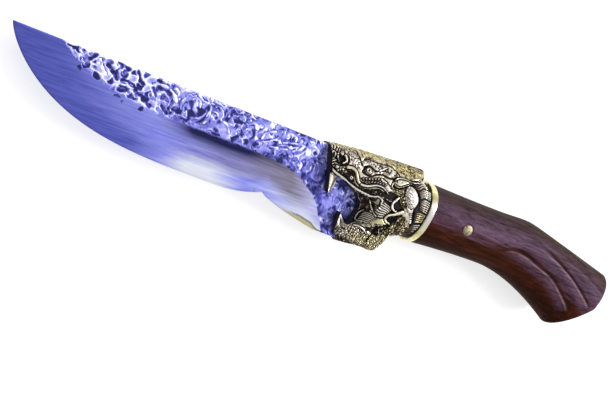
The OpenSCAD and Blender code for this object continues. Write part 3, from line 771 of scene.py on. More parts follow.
# Muzzle, brow plate, temple and crest. The marks of the top go on over its curve
over = uy - head_z
snout = patch([(-3, 2.6), (10.0, 2.2), (10.4, 0.8), (11.4, -0.2), (12.0, -1.4), (13.0, -2.8),
               (12.8, -4.4), (10.6, -5.0), (8.2, -4.6), (7.0, -1.6), (4.5, -0.6), (1.8, -0.2),
               (-3, -1.0)], 0.25, 0.3, 0.08, 0.1)
punched(0.9, 0.25, 105, snout, 1.0, over)
punched(0.75, 0.2, 107, snout, 0.8, over)
smudged(0.4, 0.0, 0.7, 0.7, 118, snout, over)
# The snout turns yellower towards its top: painted warm light.
gold += 0.7 * snout * ramp(-0.3, 0.9, uy)
brow = patch([(13.2, -1.8), (14.1, -0.5), (16, 0.1), (19.5, 0.0), (23.2, 0.3), (25.8, 0.5), (24.2, -0.8),
              (22.4, -2.1), (20.4, -2.7), (18.6, -2.0), (16.8, -1.6), (15.2, -2.1), (14.0, -3.6)],
             0.3, 0.2, 0.03, 0.05)
punched(1.1, 0.25, 109, brow)
smudged(0.5, 0.05, 0.6, 0.8, 119, brow)
temple = patch([(23.5, -2.1), (24.6, -0.9), (26.8, 0.4), (28.3, 0.3), (29.8, -0.5), (30.1, -1.8),
                (27.8, -2.6), (26.0, -2.5), (23.8, -2.5)], 0.35, 0.2, 0.1, 0.1)
punched(1.1, 0.3, 110, temple)
smudged(0.6, 0.0, 0.5, 0.9, 120, temple)
crest = patch([(10.9, 8), (10.9, 2.2), (12.3, 0.6), (13.2, -0.4), (14.1, 0.5), (15.9, 1.1), (19.5, 1.0),
               (23.2, 1.3), (26.2, 1.5), (28.7, 0.6), (31.2, -0.8), (33.4, -1.0), (35.6, -1.1),
               (37.3, -1.1), (39.2, -0.4), (45.9, 0.7), (48.5, 1.4), (49, 8)], 0.4, 0.4, 0.14, 0.95)
punched(0.85, 0.25, 111, crest * ramp(46.5, 45, ux), 0.85, over)
punched(0.7, 0.2, 112, crest * ramp(46.5, 45, ux), 0.7, over)
# Darker towards the crest's upper edge, where it turns over: painted shade, besides the punched dots and
# smudges.
black += crest * ramp(46.5, 44, ux) * (0.22 * drift(ux, over, 1.4, 116) + 0.3 * drift(ux, over, 0.7, 117)
                                       + 0.3 * ramp(2.2, 3.6, uy) + 0.05)

# Dark grounds, with small scales or nothing in them
for points, level, dark, size in (
        ([(31.4, -22.5), (33.4, -21.5), (36.4, -21.0), (37.0, -22.6), (34.8, -24.4), (32.2, -23.8)], -0.4,
         0.7, 0.9),
        ([(0.8, -7.6), (1.4, -5.8), (4, -6.3), (7.0, -6.4), (10, -6.6), (11.6, -8.6), (13, -10.8),
          (15.4, -11.4), (18.8, -10.9), (21.4, -9.8), (24, -9.2), (26.5, -10), (27, -12), (24.6, -11.8),
          (22, -12.7), (18.9, -12.6), (14.2, -12.1), (9.6, -10.9), (5.4, -9.5), (2.8, -8.8)], -0.4, 0.7,
         1.15),
        ([(0.9, -1.4), (2.4, -0.5), (5.0, -1.2), (7.2, -2.6), (6.9, -4.8), (5.4, -6.2), (3.4, -6.3),
          (1.5, -5.4), (0.9, -3.4)], -0.4, 0.9, 0),
        ([(26.1, -9.6), (28.4, -8.3), (30.6, -8.5), (33.4, -9.4), (31.8, -11.0), (28.9, -11.9),
          (26.8, -12.2)], -0.45, 0.95, 0),
        ([(31.2, -14.6), (32.2, -11.2), (33.6, -10.0), (35.2, -12.2), (37.2, -13.2), (37.4, -15.0),
          (34.4, -15.6)], -0.6, 0.95, 0),
        ([(26.2, -12.4), (29.6, -12.3), (31.4, -13.8), (32.4, -15.8), (35.0, -16.2), (33, -18.4),
          (30.6, -20.4), (27, -21.0), (24.4, -19.6), (22.2, -16.4), (25.6, -15.4)], -0.5, 0.85, 0),
        ([(19.0, -20.2), (22.6, -19.9), (27.8, -21.0), (28.2, -22.4), (25.8, -24.6), (20, -26.4),
          (18.6, -25.2)], -0.5, 0.9, 0),
        ([(24.0, -26.9), (27.6, -25.4), (29.7, -24.0), (32.0, -23.2), (34.2, -23.4), (34.4, -25.6),
          (32.2, -28.5), (29.7, -28.6), (27.3, -28.0)], -0.5, 0.8, 1.1),
        ([(30.9, -19.4), (34.4, -17.5), (37.2, -15.9), (38.4, -16.6), (37.0, -19.0), (36.2, -21.2),
          (34.0, -21.4), (31.6, -20.6)], -0.5, 0.85, 0.8),
        ([(37.6, -1.8), (40.8, -3.2), (43.0, -6), (43.6, -9.6), (43.0, -12.6), (45.2, -16.8), (46.2, -24),
          (42.8, -26), (44.2, -20.6), (42.0, -15.6), (41.0, -12.4), (42.0, -9.0), (40.8, -5.8),
          (38.8, -4.0), (36.6, -3.2)], -0.8, 1.0, 0)):
    dark_ground = patch(points, level, 0.4, dark, 0.2)
    if size:
        black -= 0.55 * dark_ground * ramp(10, 6, ux)
        scaled(size, 0.5, 113, dark_ground, 0.95, 1.2)

# Scales of the jaw and chin, the brown-gold spots below the ear, and the neck under the cheek
jaw = patch([(12.6, -31), (16.4, -29.0), (18.4, -27.5), (22, -26.6), (25.1, -26.6), (27.6, -28.1),
             (31.3, -28.8), (32.4, -26.4), (36, -25.4), (42, -25), (44, -42), (12, -42)], 0.15, 0.3,
            -0.02, 0.2)
below = uy + head_z
scaled(1.3, 0.5, 121, jaw, 1.0, 0.3, below)
punched(0.8, 0.25, 122, jaw, 0.9, below)
under = jaw * ramp(-33.4, -35.2, uy + 0.6 * drift(ux, below, 1.5, 128)) * ramp(35, 30, ux)
black = mix(black, 0.72 + 0.5 * drift(ux, below, 0.9, 129), under)
gold += 0.55 * jaw * (ramp(25, 30, ux) + hump(ux - 24, 4.5) * hump(uy + 31.6, 2.4))
spots = patch([(29.2, -7.3), (31.6, -6.2), (34.5, -6.6), (36.6, -7.8), (37.5, -9.8), (38.9, -12.1),
               (37.0, -13.1), (35.0, -12.4), (34.2, -10.6), (32.4, -9.5), (30.4, -8.9)], 0.1, 0.5, 0.4,
              0.75)
scaled(1.0, 0.4, 125, spots, 1.0, 0.5)
neck = patch([(33.9, -23.4), (34.9, -21.3), (36.9, -19.0), (38.7, -16.4), (39.6, -15.9), (42.1, -19.2),
              (44.9, -20.2), (45.6, -23.0), (43.4, -26), (38, -28), (33.6, -26.4)], 0.2, 0.4, 0.38, 0.85)
scaled(1.15, 0.5, 123, neck, 0.95, 0.5)
punched(0.8, 0.3, 124, neck)

# Tooled lines of the face and under the crest
for points, width, depth, dashed in (
        ([(10.3, 2.8), (10.5, 0.9), (11.6, -0.1), (12.3, -1.3), (13.2, -2.7)], 0.32, 0.6, 0),
        ([(13.2, -1.3), (14.1, -0.1), (15.9, 0.5), (17.3, 0.4), (19.5, 0.4), (21.3, 0.6), (23.2, 0.7),
          (26.2, 1.0), (28.7, 0.3), (31.2, -1.0)], 0.26, 0.55, 0.6),
        ([(31.4, -1.5), (33.4, -1.5), (35.6, -1.5), (37.3, -1.5), (39.2, -0.8), (45.9, 0.3), (48.4, 1.2)],
         0.26, 0.5, 0),
        ([(23.2, -3.2), (25.1, -3.6), (27.3, -3.6), (30.4, -2.7)], 0.42, 0.5, 0),
        ([(28.6, -8.0), (28.3, -5.6), (29.2, -3.7), (30.7, -2.6)], 0.34, 0.5, 0),
        ([(29.4, -6.2), (31.2, -6.2), (33.1, -5.5), (34.9, -4.3), (37.4, -2.8), (39.9, -1.4),
          (43.5, -0.2)], 0.38, 0.5, 0),
        ([(24.0, -4.5), (25.7, -5.3), (27.4, -6.3), (29.5, -7.4)], 0.24, 0.4, 0),
        ([(23.6, -5.6), (25.7, -6.6), (27.6, -7.6)], 0.2, 0.3, 0)):
    score(points, width, depth, dashed)

# Eye: a ring round a drilled pupil, between lids with dark lines under them
patch([(13.6, -4.6), (14.8, -2.4), (17, -1.7), (19.4, -2.4), (21.8, -2.8), (22.6, -3.2), (19.6, -5.2),
       (16.2, -6.1), (14, -5.8)], -0.3, 0.3, 0.25, 0.1)
knob(16.7, -3.9, 1.55, 0.8, -0.15, 0.35)
knob(16.6, -3.8, 1.0, 0.35, 0.5, 0.05)
hole(16.6, -3.8, 0.5, 0.6)
score([(14.3, -4.7), (14.6, -3.3), (15.6, -2.4), (16.9, -2.0), (18.2, -2.3), (19.3, -2.9), (20.6, -3.0)],
      0.26, 0.4)
score([(14.4, -5.0), (15.3, -5.6), (16.5, -5.9), (17.9, -5.9), (19.2, -5.3), (20.3, -4.5), (22.2, -3.6)],
      0.3, 0.4)
patch([(19.7, -3.8), (20.4, -4.1), (21.5, -3.5), (21.9, -2.8), (20.6, -3.0)], 0.3, 0.15, 0.0, 0.05)
strand([(21.4, -2.4), (23.0, -1.4), (25.0, -0.2)], 0.3, 0.4, 0.7, 0.2)

# A row of beads with a dark gap between each, and short ribs under it
patch([(13.5, -5.9), (15.3, -6.2), (17.7, -6.4), (20, -5.4), (22.2, -4.7), (24.0, -4.9), (27.4, -6.6),
       (29.0, -7.9), (28.0, -9.2), (26.4, -8.4), (24.8, -7.6), (22.9, -7.6), (21.2, -8.0), (18.8, -9.2),
       (16.3, -9.7), (14.8, -9.3), (13.9, -7.6)], 0.0, 0.3, 0.25, 0.1)
beads = curve([(14.9, -8.1), (17.1, -7.4), (19.8, -6.5), (22.2, -5.6), (23.8, -5.4)], step=0.1)
for k in range(7):
    x, y = beads[int((k + 0.5) * len(beads) / 7)]
    knob(x, y + 0.1, 0.52, 0.6, 0.05)
    x, y = beads[int(k * len(beads) / 7)]
    hole(x, y, 0.36)
for k in range(9):
    t = k / 8
    x, y = mix(15.6, 25.6, t), mix(-9.2, -7.3, t) + 0.5 * math.sin(3 * t)
    strand([(x, y), (x + 0.5, y + 0.8)], 0.22, 0.4, 0.8, 0.25)

# The mane in tufts from the crest down to the chin, and a column of short ribs behind the cheek
patch([(37.6, -2.2), (44, -0.6), (49.4, 0.8), (51, -3), (51, -26), (45.6, -27), (45.4, -19), (43.2, -15),
       (42.4, -11.6), (43.2, -9), (41.8, -5.6), (39.6, -3.6)], -0.35, 0.2, 1.0, 0.2)
combed([(36.5, -3.3), (38.7, -1.5), (41.7, 0.6), (46.2, -0.6)],
       [(40.7, -4.0), (43.9, -2.5), (47.5, -2.8)], 4, 0.3, 0.2)
combed([(41.3, -4.1), (44.1, -3.0), (47.7, -3.1), (50.0, -3.4)],
       [(43.2, -7.2), (45.1, -6.1), (47.2, -6.2), (50.0, -6.9)], 5, 0.15, -0.1)
combed([(43.2, -7.9), (45.3, -6.7), (47.5, -6.8), (50.0, -7.5)],
       [(44.4, -11.4), (46.4, -11.8), (48.7, -12.2), (50.0, -12.6)], 6, 0.15, -0.05)
combed([(42.9, -13.1), (44.9, -12.3), (49.4, -12.9)],
       [(44.7, -17.6), (47.2, -16.9), (49.4, -15.7)], 5, 0.8, 0.1)
combed([(44.8, -18.6), (47.0, -17.5), (49.1, -16.7)],
       [(43.0, -24.0), (45.4, -23.8), (47.6, -22.7)], 5, 0.1, 0.12)
patch([(37.9, -12.0), (41.1, -11.3), (42.0, -13.4), (40.2, -14.3)], 0.4, 0.2, 0.1, 0.1)
combed([(40.1, -14.3), (42.1, -13.5)], [(43.4, -18.7), (44.7, -18.0)], 5, 0.05, 0.0)

# Ear and cheek
patch([(29.4, -5.3), (29.5, -4.1), (30.5, -3.0), (32.5, -2.5), (34.6, -2.2), (37.8, -2.1), (35.8, -3.2),
       (34.2, -4.2), (32.7, -5.3), (31.1, -5.7)], 0.7, 0.4, 0.05, 0.4)
hole(30.4, -4.0, 0.4, 0.3)
hole(32.6, -3.6, 0.25, 0.2)
strand([(29.6, -3.5), (30.7, -2.6), (32.4, -2.1), (34.2, -1.9), (37.4, -2.0), (41.0, -1.2)], 0.3, 0.7,
       0.6, 0.2)
strand([(29.8, -5.5), (31.2, -5.9), (33.0, -5.3), (34.8, -4.1), (37.2, -2.6)], 0.26, 0.75, 0.7, 0.3, 0, 0.4)
patch([(34.4, -5.6), (36.4, -3.9), (38.1, -3.4), (40.2, -4.5), (41.9, -6.4), (42.6, -8.5), (42.0, -10.1),
       (41.0, -12.4), (38.9, -12.4), (36.9, -9.8), (35.4, -7.6)], -0.2, 0.2, 0.9, 0.1)
cheek = domed(38.8, -7.9, 4.9, 3.1, -58, 1.2)
for field, value in ((black, 0.03), (gold, 0.02)):
    field[:] = mix(field, value, cheek)
punched(0.7, 0.2, 127, cheek, 0.8)
smudged(0.3, 0.0, 0.6, 0.55, 130, cheek)
score([(38.1, -3.2), (39.9, -4.4), (41.8, -6.4), (42.7, -8.1), (42.4, -10.1), (41.8, -11.7), (41.9, -13.4),
       (43.1, -15.9), (44.6, -18.1)], 0.4, 0.5)

# Nostril, front curls and whisker
knob(3.7, -1.3, 1.1, 0.5, -0.1, 0.1, 0.35)
hole(4.1, -3.6, 0.8, 0.5)
strand([(5.2, -1.8), (6.1, -3.0), (5.9, -4.1), (4.9, -5.0)], 0.52, 0.8, 0.7, 0.4, 0, 0.6)
score([(4.5, -0.9), (6.3, -1.4), (7.3, -2.9), (6.9, -4.6), (5.6, -5.9), (4.0, -6.3)], 0.3, 0.4)
strand([(2.4, -0.2), (2.0, -1.9), (2.3, -3.5), (3.2, -4.8)], 0.26, 0.4, 0.8, 0.3)
strand([(-0.2, -4.1), (-0.5, -2.6), (0.2, -1.7), (1.0, -2.5), (1.0, -3.6)], 0.3, 0.5, 0.8, 0.35)
strand([(0.2, -6.6), (0.8, -5.5), (1.8, -4.7)], 0.3, 0.5, 0.8, 0.35)
strand([(-0.3, 1.6), (0.5, 0.4), (0.1, -1.0)], 0.26, 0.4, 0.8, 0.3)
for x, y, r in ((3.2, -7.2, 0.7), (5.9, -7.3, 0.5), (10.5, -9.2, 0.8)):
    knob(x, y, r, 0.4, -0.25, 0.15, 0.1)
hole(10.5, -9.2, 0.3, 0.3)
strand([(7.4, -5.7), (9.1, -5.4), (10.4, -5.6), (11.6, -6.4), (12.5, -7.8), (13.5, -9.3), (14.7, -10.1),
        (16.3, -10.3)], 0.66, 0.9, 0.85, 0.45, 0, 0.6)
# The whisker's back half and the upper lip are painted paler than rubbed brass: painted highlight.
strand([(15.4, -10.3), (16.8, -10.3), (18.8, -9.8), (21.2, -8.6), (22.9, -8.2), (24.8, -8.3),
        (26.5, -9.0), (27.7, -9.9)], 0.52, 0.9, 0.5, 0.45, 0, 0.1, -0.25)
strand(upper_lip[::6], 0.46, 1.0, 0.85, 0.5, 0, 0.1, -0.35)

# Roof of the mouth, tongue lines, lips, and the flames and horns behind them
# The roof ribs, the lower ribs and several strands, of tongue, lip and horns, are painted paler than rubbed
# brass: painted highlight against the mouth's shade.
combed([(27.7, -13.6), (30.4, -14.2), (32.2, -15.0)],
       [(24.7, -19.8), (27.2, -20.6), (30.4, -20.2)], 7, 0.15, -0.3, -0.3)
combed([(22.6, -15.2), (24.2, -15.6), (26.2, -16.6)],
       [(23.8, -18.6), (24.6, -18.2), (25.6, -18.0)], 3, 0.1, 0.45, -0.3)
combed([(20.9, -20.1), (23.6, -19.8), (26.4, -20.5), (28.2, -21.6)],
       [(19.6, -26.6), (22.2, -26.0), (25.0, -25.5), (27.2, -25.2)], 7, 0.2, -0.3, -0.3)
strand([(21.6, -14.9), (22.4, -16.2), (23.4, -17.5), (24.6, -18.8), (26.0, -19.9), (27.0, -20.5)], 0.3,
       0.6, 0.8, 0.4, 0, 0.15, -0.3)
strand([(28.1, -12.2), (29.9, -12.4), (31.5, -11.7), (33.2, -10.3)], 0.22, 0.4, 0.7, 0.3)
strand([(17.2, -28.1), (18.1, -26.9), (18.8, -25.6), (19.0, -24.4), (18.9, -22.7), (19.3, -21.2),
        (20.9, -19.5)], 0.38, 0.75, 0.8, 0.4, 0, 0.15, -0.2)
patch([(25.3, -24.2), (26.1, -23.0), (27.1, -22.1), (28.0, -21.1), (29.2, -20.8), (30.3, -20.0),
       (31.1, -20.6), (32.6, -21.5), (33.1, -22.1), (31.0, -22.9), (29.2, -23.4), (27.9, -23.7),
       (28.1, -25.1), (27.3, -25.2), (26.6, -24.2)], 0.55, 0.3, 0.02, 0.85)
strand([(33.0, -9.9), (32.2, -11.3), (31.4, -12.8), (31.6, -14.2), (32.6, -15.3), (34.0, -15.7),
        (35.4, -15.5), (36.8, -14.5)], 0.5, 0.85, 0.8, 0.4, 0, 0.1, -0.3)
strand([(36.7, -14.7), (35.3, -15.9), (33.7, -17.0), (32.0, -17.9), (31.1, -19.0), (31.0, -20.2),
        (31.9, -21.0), (33.6, -21.3)], 0.66, 0.9, 0.6, 0.4, 0, 0.6, -0.2)
score([(29.1, -24.7), (29.7, -26.3), (29.7, -28.1), (29.2, -30.2), (29.8, -32.4)], 0.35, 0.5)
strand([(30.9, -25.0), (31.6, -26.6), (32.8, -26.2), (33.0, -24.8)], 0.26, 0.45)
strand([(20.0, -27.2), (22.6, -27.0), (25.0, -27.6), (27.0, -28.8)], 0.34, 0.5, 0.7, 0.35)

# The rim rounds over at the front and dies out under the band
from_front, to_band = head_x - front_x(head_y), neck_x - head_x
relief *= ramp(0, 0.5, to_band)
relief -= 0.5 * (1 - ramp(0, 0.6, from_front)) ** 2 + 0.25 * (1 - ramp(0.1, 0.5, to_band))
skin_z = np.maximum(head_z - sink, np.minimum(head_z, jaw_wall))

# Fangs keep the front wall's height at their front edge and fall away behind it
fang_top = ramp(-10.7, -18.6, hy)
fang_front, fang_wide = mix(1.9, 4.7, fang_top), mix(4.6, 1.2, fang_top)
fang_z = mix(muzzle_half, 5.9, fang_top) - 1.3 * ramp(0, 1, (hx - fang_front) / fang_wide) ** 2
upper = ease(ramp(-10.6, -11.2, hy + 0.05 * (hx - 3))) * (hx < 7.3) * (hy > -19.4)
skin_z = mix(skin_z, fang_z, upper)
fang_low = ramp(-30.6, -24.8, hy)
low_front = mix(14.6, 13.5, fang_low)
low_z = 6.3 - 1.3 * ramp(0, 1, (hx - low_front) / mix(3.0, 0.5, fang_low)) ** 2
lower = ease(ramp(-30.9, -29.8, hy)) * ((hx < 17.8) & (hy > -33) & (hy < -22))
skin_z = mix(skin_z, low_z, lower)
tooth = np.maximum(upper, lower)
relief = mix(relief, 0.04 * drift(hx, hy, 1.2, 131), tooth)
black = mix(black, 0.3 + 0.2 * drift(hx, hy, 1.4, 132), tooth)
gold = mix(gold, 0.15, tooth)


def blurred(field, reach):
    """Running average over neighbouring points of the skin."""
    window = 2 * reach + 1
    for _ in range(2):
        total = np.cumsum(np.pad(field, [(reach + 1, reach), (0, 0)], mode="edge"), axis=0)
        field = ((total[window:] - total[:-window]) / window).T
    return field


# Patina gathers in the hollows of the relief. Deeper in the sunk mouth and jaw the brass is painted darker
# still, and its front rim near black: painted shade.
shaded = 0.7 * ramp(0, 0.22, blurred(relief, 3) - relief)
shaded += 0.9 * ramp(0, 0.55, blurred(relief, 10) - relief)
hollow = 0.85 * np.clip(black, 0, 1.2) + 0.4 * shaded * (1 - tooth) * (1 - 0.6 * ribbed)
hollow += 0.09 * sink * (1 - ramp(0.2, 0.7, relief)) * (1 - tooth) * (1 - 0.8 * ribbed)
front_painted_shade = ramp(0.7, 0.3, from_front) * (hy > -10.4)
hollow = np.clip(np.maximum(hollow, np.maximum(front_painted_shade, ramp(0.75, 0.35, to_band))), 0, 1)


def ringed(side):
    """One side's values on the whole ring."""
    return np.concatenate([side, side[:, girth - 1:0:-1]], axis=1)


skin = np.stack([ringed(head_x), ringed(head_y), ringed(skin_z)], -1)
skin[:, girth + 1:, 2] *= -1
out = np.cross(np.roll(skin, -1, axis=1) - np.roll(skin, 1, axis=1), np.gradient(skin, axis=0))
out /= np.linalg.norm(out, axis=2, keepdims=True) + 1e-9
out *= np.sign(out[:, girth // 3, 2].sum())
skin = skin + out * ringed(relief)[..., None]
skin[0, :, 0], skin[-1, :, 0] = front_x(skin[0, :, 1]), neck_x
skin[..., 2] = np.clip(skin[..., 2], -head_half, head_half)

brass, tree, shader = finish("cast_brass")
grain = streaks(tree, (1, 1, 1), 900, 4.0, 0.6)
patina_and_shade = maths(tree, "ADD", noted(tree, "hollow"), swing(tree, grain, 0.5))
wave = maths(tree, "COSINE", maths(tree, "MULTIPLY", noted(tree, "comb"), 2 * math.pi))
between = grade(tree, maths(tree, "MULTIPLY_ADD", wave, 0.5, 0.5), (0.5, 0), (0.8, 0.9))
gaps = maths(tree, "MULTIPLY", between, noted(tree, "ribbed"))
patina_and_shade = maths(tree, "ADD", patina_and_shade, gaps)
# Rubbed brass runs from silvery to yellow with the golden note: partly the brass's own colours, partly a
# painted highlight in the silvery and painted warm light in the yellow.
bright = blend_colour(tree, noted(tree, "golden"), srgb(222, 215, 210), srgb(210, 196, 138))
# Near white where the patina runs lowest, on the strands painted paler: painted highlight.
ridge = blend_colour(tree, noted(tree, "golden"), srgb(252, 249, 242), srgb(232, 221, 168))
bright = blend_colour(tree, grade(tree, patina_and_shade, (0.0, 1), (0.14, 0)), bright, ridge)
rubbed_and_highlight = blend_colour(tree, grade(tree, patina_and_shade, (0.24, 0), (0.50, 1)), bright, srgb(104, 84, 64))
dark_wash_and_shade = blend_colour(tree, grade(tree, patina_and_shade, (0.44, 0), (0.70, 1)), rubbed_and_highlight, srgb(14, 10, 12))
metal = maths(tree, "MULTIPLY", grade(tree, patina_and_shade, (0.4, 1.0), (0.8, 0.1)),
              grade(tree, noted(tree, "ribbed"), (0, 1.0), (1, 0.5)))
plug(shader, {"Base Color": dark_wash_and_shade, "Metallic": metal,
              "Roughness": grade(tree, patina_and_shade, (0.2, 0.3), (0.75, 0.6)),
              "Specular IOR Level": 0.25, "Normal": raised(tree, grain, 0.00006, 0.5)})

# The casting's front wall and the cut walls of the mouth, the slot and the tang hole: blackened brass,
# painted near black as shade where they show.
blackened, tree, shader = finish("blackened_brass_and_painted_shade")
shade = streaks(tree, (1, 1, 1), 700, 3.0)
plug(shader, {"Base Color": grade(tree, shade, (0.3, (8, 6, 10)), (0.75, (30, 24, 24))),
              "Metallic": 0.2, "Roughness": 0.6})

bolster = solid("dragon_head_bolster", skin.reshape(-1, 3), loft_faces(rings, 2 * girth))
golden = np.clip(gold, 0, 1)
for name, values in (("hollow", hollow), ("ribbed", ribbed), ("comb", comb), ("golden", golden)):
    note(bolster, name, ringed(values))
bolster.data.materials.append(brass)
bolster.data.materials.append(blackened)
walls = np.zeros(len(bolster.data.polygons), np.int32)
side_faces = (rings - 1) * 2 * girth
walls[side_faces:side_faces + girth] = 1
bolster.data.polygons.foreach_set("material_index", walls)
mouth = [(-12, -19.0), (5.7, -18.9), (6.1, -17.6), (6.5, -16), (6.7, -14.2), (6.4, -12.6), (6.2, -11.4),
         (6.8, -11.1), (8.8, -11.3), (10.2, -11.9), (12.3, -12.8), (14.6, -13.7), (16.4, -14.4),
         (17.9, -15.1), (18.7, -16.2), (20.2, -17.3), (20.9, -19.5), (20.7, -21.6), (20.5, -23.8),
         (19.5, -26.3), (17.8, -28.5), (16.5, -27.2), (15.0, -25.8), (13.9, -24.8), (13.7, -26.3),
         (13.9, -28.4), (14.2, -30.4), (15, -32.2), (16, -33.9), (18.2, -35.6), (19, -42), (-12, -42)]
carve(bolster, prism([(blade_len + x, y) for x, y in mouth], -2 * through, 2 * through), cut_slot=1)
seat = [(front_x(0) - 6, fit_gap), (ricasso_end + fit_gap, fit_gap),
        (ricasso_end + fit_gap, -neck_drop - tang_w / 2 - 1 - fit_gap),
        (blade_len + 18 + fit_gap, -ricasso_w - fit_gap), (front_x(-ricasso_w) - 6, -ricasso_w - fit_gap)]
carve(bolster, prism(seat, -seat_half - fit_gap, seat_half + fit_gap), cut_slot=1)
tang_hole = tang_outline(fit_gap, ricasso_end - 3)
carve(bolster, prism(tang_hole, -tang_half - fit_gap, tang_half + fit_gap), cut_slot=1)
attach(bolster, "root")
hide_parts("dragon_bolster")

# Ferrule band: a flat brass ring with both edges rounded over, pushed on the wood's tenon
# until it closes against the casting. It is polished, with a pale painted highlight along its middle.
ferrule_len, ferrule_wall, round_r = 3.0, 1.8, 0.5
band_steps, corner_steps, band_crisp = 180, 6, 50.0


def neck_frame(u, v, w):
    """A place on the neck: along it, up it and across it."""
    return np.stack([neck_x + u + 0 * v, -neck_drop + v, w + 0 * v], -1)


def egg(turns, height, thick):
    """Section of the neck, widest nearer the spine."""
    up = height * egg_up
    c = np.cos(turns)
    return height / 2 - up + np.where(c > 0, up, height - up) * c, thick / 2 * np.sin(turns)


band_turns = np.linspace(0, 2 * math.pi, band_steps, endpoint=False)
corner = [(round_r * (1 - math.cos(a)), round_r * (1 - math.sin(a)))
          for a in np.linspace(0, math.pi / 2, corner_steps)]
profile = [(0.0, ferrule_wall)] + corner
profile += [(ferrule_len - u, inset) for u, inset in corner[::-1]] + [(ferrule_len, ferrule_wall)]
band_points = [neck_frame(u, *egg(band_turns, neck_w - 2 * inset, neck_t - 2 * inset))
               for u, inset in profile]
band_faces = wall_faces(len(profile) + 1, band_steps) % (len(profile) * band_steps)
band = solid("ferrule_ring", np.concatenate(band_points), band_faces.tolist())
polished, tree, shader = finish("polished_brass")
rubs = streaks(tree, (1, 1, 1), 420, 4.0)
band_colour = grade(tree, rubs, (0.3, (200, 190, 126)), (0.6, (236, 230, 184)))
band_colour = blend_colour(tree, noted(tree, "rubbed_and_highlight"), band_colour, srgb(226, 221, 214))
plug(shader, {"Base Color": band_colour, "Metallic": 1.0,
              "Roughness": grade(tree, rubs, (0.3, 0.34), (0.7, 0.2))})
band.data.materials.append(polished)
# A pale band along the ring's middle: painted highlight.
band_y = np.concatenate(band_points)[:, 1]
note(band, "rubbed_and_highlight", ramp(-4, -8, band_y) * ramp(-20, -15, band_y))
band.data.set_sharp_from_angle(angle=math.radians(band_crisp))
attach(band, "root")
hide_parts("ferrule_band")

# Tang bedding: black resin, poured into the handle's mortise and set hard round the tang. It
# can't be seen from outside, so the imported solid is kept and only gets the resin's finish.
resin, tree, shader = finish("dark_resin")
specks = streaks(tree, (1, 1, 1), 900, 2.0)
plug(shader, {"Base Color": grade(tree, specks, (0.3, (22, 20, 20)), (0.7, (44, 40, 38))),
              "Roughness": 0.55})
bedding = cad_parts["tang_bedding"]
bedding.data.materials.clear()
bedding.data.materials.append(resin)

# Handle: one piece of rosewood with an egg-shaped section, waisted in the grip, bent down
# towards its end and flared to a blunt butt. Flutes are carved down each side, and it is
# oiled. A tenon on its front carries the band, and a mortise takes the tang.
wood_half, grip_half, butt_half = 12.9, 11.0, 12.5
grip_x, butt_x, butt_drop, top_fall = 195.0, 298.0, 39.4, 10.0
# Corners of the outline at the band and at the butt
front_top = neck_frame(ferrule_len, neck_w / 2 - 0.3, 0.0)[:2]
front_low = neck_frame(ferrule_len, 0.3 - neck_w / 2, 0.0)[:2]
end_top = np.array([butt_x - 1, front_top[1] - top_fall])
end_low = np.array([butt_x - 22.4, 0.5 - butt_drop])
# Where the top bends down and the underside swells, and how deep both are waisted
bend_x, swell_x, top_waist, low_waist, knuckle = grip_x + 54.6, grip_x + 37, 0.4, 1.6, 0.4
bend_soft = 13.0
# The butt bulges to a blunt corner a share of the way down, and its edge is rounded
butt_bulge, end_corner, butt_round = 3.3, 0.42, 2.5
mortise_gap, mortise_half, tenon_fit, tenon_steps = 1.4, 3.0, 0.1, 72
lengths, around = 230, 256


def soft(d):
    """Nothing before the bend and d after it, with a rounded corner between."""
    return (d + np.sqrt(d * d + bend_soft)) / 2


def handle_lines(s):
    """The handle's top and bottom outline."""
    x = mix(front_top[0], end_top[0], s)
    top = np.stack([x, front_top[1] - top_waist * np.sin(math.pi * ramp(front_top[0], bend_x, x))
                    + knuckle * ease(ramp(bend_x - 16, bend_x, x))
                    - (top_fall + knuckle) * soft(x - bend_x) / soft(end_top[0] - bend_x)], -1)
    x = mix(front_low[0], end_low[0], s)
    low = np.stack([x, front_low[1] + low_waist * np.sin(math.pi / 2 * ramp(front_low[0], swell_x, x))
                    + (end_low[1] - front_low[1] - low_waist) * ramp(swell_x, end_low[0], x) ** 1.72], -1)
    return top, low


def handle_half(s):
    """Half thickness: full at the band, slimmer in the grip, full again at the butt."""
    thin = mix(wood_half, grip_half, ease(ramp(0, 0.45, s)))
    return mix(thin, butt_half, ease(ramp(0.5, 0.95, s)))


def handle_ring(s, inset, out):
    """One section across the handle, drawn in by inset and pushed back by out."""
    top, low = handle_lines(s)
    down = (low - top) / np.linalg.norm(low - top)
    back = np.array([-down[1], down[0]])
    turns = np.linspace(0, 2 * math.pi, around, endpoint=False)
    c, share = np.cos(turns), mix(egg_up, 0.45, s)
    v = np.where(c > 0, share * (1 - c), share - (1 - share) * c)
    swell = np.minimum(v / end_corner, (1 - v) / (1 - end_corner))
    bulge = butt_bulge * ramp(0.55, 1, s) ** 2
    a, b = top + down * inset, low - down * inset
    flat = a + (b - a) * v[:, None] + back * (bulge * swell + out)[:, None]
    return np.column_stack([flat, (handle_half(s) - inset) * np.sin(turns)]), v


ring_places = [(s, 0, 0) for s in np.linspace(0, 1, lengths) ** 0.9]
ring_places += [(1.0, 0.55 * butt_round * (1 - math.cos(a)), butt_round * math.sin(a))
                for a in np.linspace(0, math.pi / 2, 12)[1:]]
hand, hand_v = (np.array(part) for part in zip(*(handle_ring(*place) for place in ring_places)))

